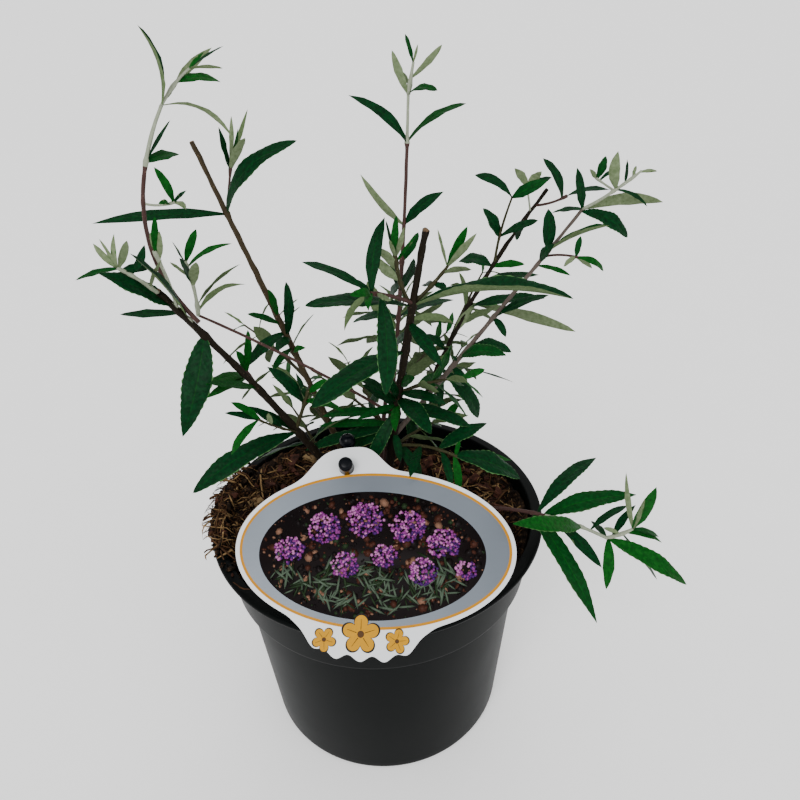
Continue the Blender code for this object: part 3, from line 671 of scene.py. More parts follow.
@dataclass(frozen=True)
class BarkFinish:
    """Bark: two colours in long streaks, pale specks, and fissures along the stem."""

    name: str
    low: tuple
    high: tuple
    speck: tuple
    roughness: float
    relief: float

    def make(self) -> bpy.types.Material:
        """Make the material.

        Returns:
            The material.
        """
        graph = Graph(self.name)
        streaks = graph.noise(900, 4, graph.stretched((1.0, 1.0, 0.25)))
        base = graph.blend(streaks, self.low, self.high)
        cells = graph.node("ShaderNodeTexVoronoi", Vector=graph.places["Object"], Scale=520.0)
        graph.colour(graph.blend(graph.clipped(cells.outputs["Distance"], 0.16, 0.10), base, self.speck))
        graph.rough(streaks, self.roughness - 0.1, self.roughness + 0.1)
        graph.bump(streaks, self.relief * MM)
        graph.gloss(0.12)
        return graph.material


@dataclass(frozen=True)
class PlasticFinish:
    """Moulded plastic: a fine grain, and cloudy patches where it is more or less worn."""

    name: str
    low: tuple
    high: tuple
    smooth: float
    dull: float
    grain: float
    gloss: float = 0.2

    def make(self) -> bpy.types.Material:
        """Make the material.

        Returns:
            The material.
        """
        graph = Graph(self.name)
        clouds = graph.noise(28, 5)
        graph.colour(graph.blend(clouds, self.low, self.high))
        graph.rough(clouds, self.smooth, self.dull)
        graph.bump(graph.noise(1800, 2), self.grain * MM)
        graph.gloss(self.gloss)
        return graph.material


@dataclass(frozen=True)
class EarthFinish:
    """Compost, fibre or chip: a ramp of colours by noise, and coarse and fine grains."""

    name: str
    stops: tuple
    cells: float
    relief: float
    roughness: float = 0.9

    def make(self) -> bpy.types.Material:
        """Make the material.

        Returns:
            The material.
        """
        graph = Graph(self.name)
        grains = graph.noise(self.cells, 6)
        graph.colour(graph.steps(grains, self.stops))
        graph.rough(grains, self.roughness - 0.1, self.roughness)
        graph.bump(graph.noise(self.cells * 2.5, 4), self.relief * MM)
        graph.gloss(0.1)
        return graph.material


@dataclass(frozen=True)
class BrushedFinish:
    """Silver print with painted reflection: soft light and dark bands painted into its colour, with a fine
    brushed grain along X.
    """

    name: str
    low: tuple
    high: tuple

    def make(self) -> bpy.types.Material:
        """Make the material.

        Returns:
            The material.
        """
        graph = Graph(self.name)
        # Painted reflection: the light and dark bands in the silver's colour stand for its reflections.
        bands = graph.noise(22, 2, graph.stretched((1.0, 0.35, 0.35)))
        graph.colour(graph.blend(bands, self.low, self.high))
        graph.rough(graph.noise(2600, 2, graph.stretched((0.05, 1.0, 1.0))), 0.24, 0.42)
        graph.shader.inputs["Metallic"].default_value = 0.2
        return graph.material


@dataclass(frozen=True)
class InkFinish:
    """Printed ink under a clear gloss, with a faint mottle."""

    name: str
    low: tuple
    high: tuple
    cells: float = 400.0

    def make(self) -> bpy.types.Material:
        """Make the material.

        Returns:
            The material.
        """
        graph = Graph(self.name)
        graph.colour(graph.blend(graph.noise(self.cells, 4), self.low, self.high))
        graph.shader.inputs["Roughness"].default_value = 0.4
        graph.gloss(0.1)
        return graph.material


@dataclass(frozen=True)
class Stem:
    """A stem's middle line, a curve pulled towards one bend point, and its end radii, in metres."""

    start: Array
    bend: Array
    tip: Array
    foot_radius: float
    tip_radius: float

    @classmethod
    def between(cls, start: Array, row: Limb | Shoot | Spray) -> "Stem":
        """A stem from a start in metres to a row's tip, with the row's bow and end radii in millimetres.

        Args:
            start: Where it starts.
            row: The row.

        Returns:
            The stem.
        """
        tip = np.array(row.tip) * MM
        bend = (start + tip) / 2 + 2 * np.array(row.bow) * MM
        return cls(start, bend, tip, row.foot_radius * MM, row.tip_radius * MM)

    def at(self, share: Array | float) -> Array:
        """Points at shares of the way: the start, the bend and the tip, blended quadratically."""
        s = np.asarray(share, float)[..., None]
        return (1 - s) ** 2 * self.start + 2 * s * (1 - s) * self.bend + s**2 * self.tip

    def heading(self, share: Array | float) -> Array:
        """Unit directions at shares of the way."""
        s = np.asarray(share, float)[..., None]
        return unit((1 - s) * (self.bend - self.start) + s * (self.tip - self.bend))

    def length(self) -> float:
        """Length in metres, taken along eight straight steps."""
        return float(np.linalg.norm(np.diff(self.at(np.linspace(0, 1, 9)), axis=0), axis=1).sum())


@dataclass(frozen=True)
class Blade:
    """One leaf ready to draw, in metres: its ends, upper side, width, arch, tone and fold."""

    base: Array
    tip: Array
    upper: Array
    width: float
    arch: float
    tone: Tone
    fold: float = 0.3


@dataclass(frozen=True)
class BladeGrid:
    """How finely a leaf is drawn: its stations, and the places across its two sides from -1 to 1."""

    stations: int
    upper: tuple
    rim_strips: tuple
    rib_strips: tuple
    lower: tuple


FINE = BladeGrid(33, (-1, -0.95, -0.5, -0.04, 0.04, 0.5, 0.95, 1), (0, 6), (3,), (-0.55, 0, 0.55))
PLAIN = BladeGrid(10, (-1, -0.5, -0.06, 0.06, 0.5, 1), (), (2,), (0,))
SLIGHT = BladeGrid(8, (-1, 0, 1), (), (), (0,))


@dataclass
class LeafCutter:
    """Draws leaves: lance-shaped, finely toothed, folded up along the midrib, with rims that turn down."""

    turn_down: float = 0.24
    sweep: float = 0.025
    thickness: float = 0.35 * MM
    stalk: float = 0.45 * MM
    tooth: float = 0.045
    small_tooth: float = 0.03
    wave: float = 0.11
    waves: float = 2.3
    twist: float = math.radians(14)
    fine_width: float = 6.5 * MM
    plain_width: float = 2.6 * MM

    def outline(self, along: Array, width: float, rise: float, fall: float) -> Array:
        """Half width at shares of the length: s^rise (1 - s)^fall brought to half the width at its peak,
        never thinner than the stalk near the base.

        Args:
            along: Shares of the length.
            width: The leaf's width.
            rise: How slowly it widens from its base.
            fall: How slowly it widens from its tip.

        Returns:
            Half widths in metres.
        """
        shape = along**rise * (1 - along) ** fall
        peak = (rise / (rise + fall)) ** rise * (fall / (rise + fall)) ** fall
        stalk = min(self.stalk, width / 5) * (1 - along)
        return np.sqrt((shape / peak * width / 2) ** 2 + stalk**2)

    def draw(self, form: Form, blade: Blade, slots: tuple, chance: Chance) -> None:
        """Add one leaf as a closed shell of an upper and a lower side that share the rim.

        The middle line is the straight line plus 4 s (1 - s) times the arch and a sideways sweep. Across, a
        point rises by the fold times |u|^1.2 and drops by the turn-down times u^4, both in half widths, and
        waves along the rim.

        Args:
            form: The form that takes it.
            blade: The leaf.
            slots: Material indices of the upper side, the lower side, the rim and the midrib.
            chance: Seeded random numbers.
        """
        grid = SLIGHT if blade.width < self.plain_width else PLAIN
        if blade.width > self.fine_width:
            grid = FINE
        along = np.linspace(0, 1, grid.stations)
        along = 0.6 * along + 0.2 * (1 - np.cos(math.pi * along))
        reach = blade.tip - blade.base
        axis = unit(reach)
        upper = unit(blade.upper - (blade.upper @ axis) * axis)
        side = np.cross(axis, upper)
        slope = 4 * blade.arch * (1 - 2 * along) / np.linalg.norm(reach)
        rising = unit(upper - slope[:, None] * axis)
        turn = (chance.uniform(-1, 1) * self.twist * (along - 0.3))[:, None]
        across = np.cos(turn) * side + np.sin(turn) * rising
        rising = np.cos(turn) * rising - np.sin(turn) * side
        middle = blade.base + along[:, None] * reach
        bulge = (4 * along * (1 - along))[:, None]
        sideways = chance.uniform(-1, 1) * self.sweep * np.linalg.norm(reach)
        middle = middle + bulge * (blade.arch * upper + sideways * side)
        fall = chance.uniform(0.65, 1.0)
        half = self.outline(along, blade.width, chance.uniform(0.75, 1.0), fall)
        tooth = self.tooth if grid is FINE else self.small_tooth
        toothed = 1 + tooth * np.where(np.arange(grid.stations) % 2, 1, -1)
        toothed[[0, -1]] = 1
        phase = chance.uniform(0, TAU)
        ripple = np.sin(TAU * self.waves * along + phase) * self.wave

        def skin(places: tuple, drop: float) -> Array:
            """Points of one side of the leaf.

            Args:
                places: Places across it.
                drop: How far it lies below the middle line.

            Returns:
                The points.
            """
            u = np.array(places, float)
            wide = half[:, None] * np.where(abs(u) == 1, toothed[:, None], 1)
            lift = blade.fold * abs(u) ** 1.2 - self.turn_down * u**4 + ripple[:, None] * u**3
            height = wide * lift - drop * (half / half.max())[:, None] ** 0.5
            return (middle[:, None] + (wide * u)[..., None] * across[:, None]
                    + height[..., None] * rising[:, None])

        top = skin(grid.upper, 0)
        below = skin(grid.lower, min(self.thickness, blade.width / 14))
        top_index = np.arange(grid.stations * len(grid.upper)).reshape(grid.stations, -1)
        low_index = np.arange(grid.stations * len(grid.lower)).reshape(grid.stations, -1) + top_index.size
        under = np.concatenate([top_index[:, -1:], low_index[:, ::-1], top_index[:, :1]], axis=1)
        strips = np.full((grid.stations - 1, len(grid.upper) - 1), slots[0])
        strips[:, list(grid.rim_strips)] = slots[2]
        strips[:, list(grid.rib_strips)] = slots[3]
        ends = np.concatenate([top_index, under[:, 1:-1]], axis=1)
        uv = [np.stack(np.broadcast_arrays(np.array(side) / 2 + 0.5, along[:, None]), -1).reshape(-1, 2)
              for side in (grid.upper, grid.lower)]
        rim = np.zeros(top_index.size + low_index.size, bool)
        rim[top_index[:, [0, -1]]] = True
        form.add(np.concatenate([top.reshape(-1, 3), below.reshape(-1, 3)]),
                 [quads(top_index).reshape(-1, 4), quads(under).reshape(-1, 4), ends[:1, ::-1], ends[-1:]],
                 [strips.ravel(), slots[1], slots[2], slots[2]],
                 np.concatenate(uv), rim)


@dataclass
class BarkTurner:
    """Draws stems: tapering tubes with ridged bark, swollen at their nodes, closed at both ends."""

    pitch: float = 1.6 * MM
    sides: int = 14
    swelling: float = 0.8 * MM
    node_width: float = 1.7 * MM
    collar: float = 0.84
    pith: float = 0.28
    cut_facing: tuple = (0.1, -0.8, 0.5)

    def draw(self, form: Form, stem: Stem, relief: float, nodes: tuple, chance: Chance,
             sides: int = 0, slot: int = 0, cut_slots: tuple = (), felt: tuple = (2.0, 0)) -> None:
        """Add one stem.

        The radius tapers evenly, waves by the relief, and swells by a bell curve at each node, most on the
        two opposite sides where the leaves sat. A pruned end shows its bark as a ring round bare wood and
        a small sunken pith.

        Args:
            form: The form that takes it.
            stem: The stem.
            relief: Depth of the bark's ridges in metres.
            nodes: Shares of the length where leaves sit.
            chance: Seeded random numbers.
            sides: Points round it, or 0 for the usual number.
            slot: Material index of the bark.
            cut_slots: Material indices of wood and pith on a pruned end.
            felt: Share of the length from which another material covers it, and that material's index.
        """
        around = sides or self.sides
        length = stem.length()
        count = max(6, round(length / self.pitch))
        share = np.linspace(0, 1, count)
        angle = bearings(around)
        forward = stem.heading(share)
        least = np.eye(3)[np.argmin(abs(unit(stem.tip - stem.start)))]
        first = unit(np.cross(forward, least))
        second = np.cross(forward, first)
        radius = (stem.foot_radius + (stem.tip_radius - stem.foot_radius) * share)[:, None]
        climb = share[:, None] * length
        ridges = waves(chance, angle[None], climb, 5, 6, 9 * MM)
        radius = radius + relief * ridges
        for index, node in enumerate(nodes):
            bell = np.exp(-(((share - node) * length / self.node_width) ** 2))[:, None]
            facing = 0.35 + 0.65 * np.cos(angle - index * math.pi / 2) ** 4
            radius = radius + self.swelling * (stem.foot_radius / (3 * MM)) ** 0.5 * bell * facing
        out = (np.cos(angle)[None, :, None] * first[:, None]
               + np.sin(angle)[None, :, None] * second[:, None])
        rows = [stem.at(share)[:, None] + radius[..., None] * out]
        slots = [np.repeat(np.where(share[1:] > felt[0], felt[1], slot), around)]
        if cut_slots:
            spread = radius[-1][None, :, None] * out[-1][None]
            tilt = -0.5 * (out[-1] @ np.array(self.cut_facing))[None, :, None] * forward[-1]
            shares = np.array((1, self.collar, self.pith))[:, None, None]
            lift = np.array((0.35, 0.3, -0.25))[:, None, None] * MM * forward[-1]
            rows.append(stem.tip + spread * shares + lift + tilt * spread.max() * shares)
            slots += [np.full(2 * around, slot), np.full(around, cut_slots[0])]
        points = np.concatenate(rows)
        form.tube(points, [stem.start, points[-1].mean(axis=0)],
                  (slot, np.concatenate(slots), cut_slots[1] if cut_slots else slots[0][-1]))


class Skeleton:
    """Every stem by its name, and the limb that carries it."""

    def __init__(self) -> None:
        """Lay the limbs, then each shoot from its parent."""
        self.stems: dict[str, Stem] = {}
        self.limb_of: dict[str, str] = {}
        for limb in LIMBS:
            self.stems[limb.name] = Stem.between(np.array(limb.start) * MM, limb)
            self.limb_of[limb.name] = limb.name
        for shoot in SHOOTS:
            self.stems[shoot.name] = Stem.between(self.stems[shoot.parent].at(shoot.share), shoot)
            self.limb_of[shoot.name] = self.limb_of[shoot.parent]

    def nodes_on(self, name: str) -> tuple:
        """Shares of a stem where shoots or leaves start, near ones taken as one.

        Args:
            name: The stem's name.

        Returns:
            The shares, from the foot up.
        """
        shares = [row.share for row in SHOOTS if row.parent == name]
        shares += [row.share for row in LEAVES.get(name, ())]
        kept: list[float] = []
        for share in sorted(shares):
            if share < 0.97 and (not kept or share - kept[-1] > 0.05):
                kept.append(share)
        return tuple(kept)


@dataclass
class Crown:
    """Stems, twigs and leaves of the whole plant, limb by limb."""

    skeleton: Skeleton
    turner: BarkTurner = field(default_factory=BarkTurner)
    cutter: LeafCutter = field(default_factory=LeafCutter)
    old_relief: float = 0.22 * MM
    young_relief: float = 0.07 * MM
    twig_barks: tuple = (YOUNG, SILVER, GREEN)
    leaf_tones: tuple = (DARK, MID, BRIGHT)

    def finishes(self) -> None:
        """Make the materials that leaves and stems share."""
        self.barks = {kind: BarkFinish(*row).make() for kind, row in {
            OLD: ("old_bark_brown", (0.0035, 0.0028, 0.0014), (0.015, 0.010, 0.005), (0.06, 0.04, 0.024),
                  0.75, 0.35),
            "back_left_bough": ("old_bark_tan", (0.014, 0.010, 0.005), (0.062, 0.044, 0.022),
                                (0.13, 0.09, 0.05), 0.75, 0.3),
            "right_bough": ("young_bark_grey_tan", (0.045, 0.034, 0.028), (0.125, 0.098, 0.082),
                            (0.19, 0.16, 0.13), 0.6, 0.15),
            YOUNG: ("young_bark_red_brown", (0.026, 0.012, 0.011), (0.080, 0.040, 0.034),
                    (0.15, 0.10, 0.075), 0.6, 0.15),
            GREEN: ("twig_green_brown", (0.014, 0.013, 0.006), (0.048, 0.046, 0.018), (0.10, 0.09, 0.045),
                    0.6, 0.08),
            SILVER: ("twig_silver_felt", (0.20, 0.225, 0.16), (0.34, 0.37, 0.28), (0.44, 0.46, 0.38),
                     0.85, 0.08),
            "wood": ("cut_wood_tan", (0.07, 0.045, 0.025), (0.16, 0.105, 0.06), (0.05, 0.03, 0.018),
                     0.7, 0.1),
            "pith": ("pith_brown", (0.04, 0.022, 0.014), (0.09, 0.05, 0.03), (0.14, 0.09, 0.05), 0.8, 0.1),
        }.items()}
        self.leaf_finishes = [LeafFinish(*row).make() for row in (
            ("leaf_dark_green", (0.0007, 0.015, 0.0045), (0.0016, 0.036, 0.009), 0.42, 0.16),
            ("leaf_green", (0.0010, 0.026, 0.004), (0.0022, 0.052, 0.007), 0.44, 0.15),
            ("leaf_bright_green", (0.0018, 0.038, 0.0035), (0.0045, 0.082, 0.007), 0.46, 0.13),
            ("leaf_felt_grey_green", (0.075, 0.115, 0.048), (0.115, 0.165, 0.075), 0.8, 0.1),
            ("leaf_rim_pale_green", (0.045, 0.12, 0.035), (0.08, 0.18, 0.06), 0.6, 0.05))]
        self.tip_finishes = [LeafFinish(*row).make() for row in (
            ("tip_grey_green", (0.04, 0.10, 0.025), (0.08, 0.15, 0.05), 0.7, 0.1),
            ("tip_felt_silver", (0.10, 0.14, 0.065), (0.17, 0.215, 0.12), 0.85, 0.08),
            ("tip_rim_silver", (0.20, 0.25, 0.15), (0.29, 0.34, 0.22), 0.85, 0.05))]

    def leaf_blade(self, stem: Stem, row: Leaf) -> Blade:
        """A leaf from its row: its upper side faces up and to the front, turned about its own axis by the
        row's roll.

        Args:
            stem: The stem that bears it.
            row: The leaf's row.

        Returns:
            The leaf in metres.
        """
        base = stem.at(row.share)
        tip = np.array(row.tip) * MM
        axis = unit(tip - base)
        upper = unit(UP_AND_FRONT - (UP_AND_FRONT @ axis) * axis)
        roll = math.radians(row.roll)
        turned = math.cos(roll) * upper + math.sin(roll) * np.cross(axis, upper)
        return Blade(base, tip, turned, row.width * MM, row.arch * MM, row.tone, row.fold)

    def spray_blades(self, stem: Stem, row: Spray, chance: Chance) -> list[Blade]:
        """Leaves of a rule-grown spray: opposite pairs, each pair turned a quarter about the stem, smaller
        towards the tip, and one small pair that points ahead.

        Args:
            stem: The spray's stem.
            row: Its row.
            chance: Seeded random numbers.

        Returns:
            Its leaves.
        """
        blades = []
        for pair in range(row.pairs + 1):
            last = pair == row.pairs
            share = 0.30 + 0.68 * pair / row.pairs
            forward = stem.heading(share)
            level = unit(np.cross(forward, (0, 0, 1)))
            lifted = np.cross(level, forward)
            turn = pair * math.pi / 2 + chance.uniform(-0.3, 0.3) + 0.5
            beside = math.cos(turn) * level + math.sin(turn) * lifted
            size = 1 - 0.5 * pair / row.pairs
            spread = math.radians(32 if last else chance.uniform(52, 72))
            for hand in (-1, 1):
                way = math.cos(spread) * forward + hand * math.sin(spread) * beside
                length = row.length * MM * size * chance.uniform(0.85, 1.1)
                base = stem.at(share)
                sag = np.array((0, 0, -0.22)) * length * chance.uniform(0.3, 1.4)
                tone = row.tone if size > 0.7 else BRIGHT
                blades.append(Blade(base, base + unit(way) * length + sag,
                                    forward + np.array((0, 0, 0.5)),
                                    row.width * MM * size * chance.uniform(0.85, 1.1),
                                    length * chance.uniform(0.03, 0.09), tone))
        return blades

    def build(self) -> None:
        """Build every limb's bark, twigs, leaves and silver tips, and the woody foot."""
        self.finishes()
        for number, limb in enumerate(LIMBS):
            chance = np.random.default_rng(SEED + number)
            self.build_bark(limb, chance)
            self.build_twigs_and_leaves(limb, chance)
        self.build_foot(np.random.default_rng(SEED - 1))

    def build_bark(self, limb: Limb, chance: Chance) -> None:
        """Build a limb's own stem, in place of its node.

        Args:
            limb: The limb.
            chance: Seeded random numbers.
        """
        form = Form()
        old = limb.bark is OLD
        self.turner.draw(form, self.skeleton.stems[limb.name], self.old_relief if old else self.young_relief,
                         self.skeleton.nodes_on(limb.name), chance, cut_slots=(1, 2) if old else (),
                         felt=(limb.felt_from, 3))
        bark = self.barks.get(limb.name, self.barks[limb.bark])
        others = [self.barks[kind] for kind in ("wood", "pith", SILVER)]
        settle(form.piece(f"{limb.name}_bark", [bark, *others]), (limb.name,))

    def build_twigs_and_leaves(self, limb: Limb, chance: Chance) -> None:
        """Build a limb's side shoots, sprays and leaves, which stand for its masses of foliage.

        Args:
            limb: The limb.
            chance: Seeded random numbers.
        """
        twigs, leaves, tips = Form(), Form(), Form()
        stems = self.skeleton.stems
        blades = [self.leaf_blade(stems[name], row) for name, rows in LEAVES.items() for row in rows
                  if self.skeleton.limb_of[name] == limb.name]
        for shoot in SHOOTS:
            if self.skeleton.limb_of[shoot.name] == limb.name:
                self.turner.draw(twigs, stems[shoot.name], self.young_relief / 2,
                                 self.skeleton.nodes_on(shoot.name), chance, 8,
                                 self.twig_barks.index(shoot.bark))
        for row in SPRAYS:
            if row.shoot == limb.name:
                stem = Stem.between(stems[limb.name].at(row.share), row)
                self.turner.draw(twigs, stem, self.young_relief / 2, (0.3, 0.6), chance, 8, 2)
                blades += self.spray_blades(stem, row, chance)
        for blade in blades:
            if blade.tone is PALE:
                self.cutter.draw(tips, blade, (0, 1, 2, 1), chance)
            else:
                tone = self.leaf_tones.index(blade.tone)
                self.cutter.draw(leaves, blade, (tone, 3, 4, min(tone + 1, 2)), chance)
        if twigs.total:
            settle(twigs.piece(f"{limb.name}_twigs", [self.barks[kind] for kind in self.twig_barks]))
        if tips.total:
            settle(tips.piece(f"{limb.name}_tips", self.tip_finishes))
        settle(leaves.piece(f"{limb.name}_leaves", self.leaf_finishes), limb.masses)

    def build_foot(self, chance: Chance) -> None:
        """Build the woody foot that the limbs leave: a short tapering stump, ridged and knobbly.

        Args:
            chance: Seeded random numbers.
        """
        start, tip = np.array((0, 0, 116.4)) * MM, np.array((0, 0, 131.4)) * MM
        stem = Stem(start, (start + tip) / 2, tip, 8.6 * MM, 5.2 * MM)
        form = Form()
        BarkTurner(pitch=0.7 * MM, sides=36, swelling=0.5 * MM, node_width=2.5 * MM).draw(
            form, stem, 0.5 * MM, (0.3, 0.75), chance)
        settle(form.piece("foot_bark", [self.barks[OLD]]), ("foot",))


def revolve(form: Form, profile: Array, segments: int) -> None:
    """Add a profile of (radius, height) turned about Z, closed by a pole at each end.

    Args:
        form: The form that takes it.
        profile: Points from the lower pole, out and up, to the other pole.
        segments: Points round it.
    """
    angle = bearings(segments)
    inner = profile[1:-1]
    rings = np.stack([inner[:, :1] * np.cos(angle), inner[:, :1] * np.sin(angle),
                      np.broadcast_to(inner[:, 1:], (len(inner), segments))], axis=-1)
    form.tube(rings, [(0, 0, profile[0, 1]), (0, 0, profile[-1, 1])])


def resampled(corners: Array, step: float) -> Array:
    """A line through corners with points no further apart than a step, each corner kept.

    Args:
        corners: Points of the line.
        step: Largest gap.

    Returns:
        The points.
    """
    pieces = []
    for low, high in zip(corners[:-1], corners[1:]):
        count = max(1, math.ceil(float(np.linalg.norm(high - low)) / step))
        pieces.append(low + (high - low) * np.arange(count)[:, None] / count)
    return np.concatenate([*pieces, corners[-1:]])


def arc(middle: tuple, radius: float, start: float, end: float, steps: int) -> Array:
    """Points on a circle's arc, by angles in degrees."""
    return np.array(middle) + radius * ways(np.radians(np.linspace(start, end, steps + 1)))


@dataclass
class Pot:
    """The round nursery pot: rolled lip, collar, a step, a tapering body and a recessed base with holes."""

    height: float = 130 * MM
    rim_radius: float = 85 * MM
    collar_top: float = 80.5 * MM
    collar_foot: float = 77.5 * MM
    collar_depth: float = 30 * MM
    body_top: float = 73.5 * MM
    base_radius: float = 65.5 * MM
    corner: float = 5 * MM
    lip: float = 3 * MM
    wall: float = 1.6 * MM
    recess: float = 0.8 * MM
    holes: int = 8
    hole_radius: float = 4 * MM
    hole_ring: float = 52 * MM
    segments: int = 176

    def profile(self) -> Array:
        """The line that is turned: from the base's middle, up the outside, over the lip and down the inside.

        Returns:
            Its points, (radius, height).
        """
        step = self.height - self.collar_depth
        under = self.height - self.lip
        lip_middle = (self.rim_radius - self.lip / 2, self.height - self.lip / 2)
        neck = (self.collar_top + 0.8 * MM, under - 0.8 * MM)
        corners = np.concatenate([
            [(0, self.recess), (57.0 * MM, self.recess), (57.8 * MM, 0)],
            arc((self.base_radius - self.corner, self.corner), self.corner, -90, 0, 6),
            [(self.body_top - 0.3 * MM, step - 3.2 * MM)],
            [(self.body_top + 0.1 * MM, step - 2.4 * MM), (self.body_top + 1.2 * MM, step - 1.4 * MM)],
            [(self.collar_foot - 0.7 * MM, step - 0.7 * MM), (self.collar_foot, step + 0.2 * MM)],
            [(self.collar_foot + 0.12 * MM, step + 1.2 * MM)],
            [(self.collar_top - 0.1 * MM, under - 1.2 * MM)],
            arc(neck, 0.8 * MM, 180, 90, 3),
            arc(lip_middle, self.lip / 2, -90, 80, 9),
            [(self.collar_top - 0.2 * MM, self.height)],
            arc((self.collar_top - 0.5 * MM, self.height - 0.9 * MM), 0.9 * MM, 100, 180, 3),
            [(self.collar_foot - self.wall, step + self.wall), (self.body_top - self.wall, step)],
            [(self.base_radius - self.wall, self.corner), (self.base_radius - self.corner, self.wall)],
            [(0, self.wall)],
        ])
        return resampled(corners, 3 * MM)

    def build(self) -> None:
        """Turn the profile, cut the drain holes and dress it."""
        form = Form()
        revolve(form, self.profile(), self.segments)
        finish = PlasticFinish("pot_black_plastic", (0.0014, 0.0020, 0.0020), (0.0025, 0.0034, 0.0032),
                               0.34, 0.46, 0.012, 0.04).make()
        piece = form.piece("nursery_pot", [finish])
        drill = np.array([(0, -2), (self.hole_radius / MM, -2), (self.hole_radius / MM, 4), (0, 4)]) * MM
        drills = Form()
        for index in range(self.holes):
            bearing = TAU * (index + 0.5) / self.holes
            revolve(drills, drill, 32)
            drills.points[-1] += self.hole_ring * np.array((math.cos(bearing), math.sin(bearing), 0))
        cutter = drills.piece("drain_hole_cutter", [finish])
        cut = piece.modifiers.new("drain_holes", "BOOLEAN")
        cut.operation = "DIFFERENCE"
        cut.solver = "EXACT"
        cut.object = cutter
        drilled = piece.evaluated_get(bpy.context.evaluated_depsgraph_get())
        piece.data = bpy.data.meshes.new_from_object(drilled)
        piece.modifiers.clear()
        bpy.data.objects.remove(cutter)
        settle(piece, ("pot",))


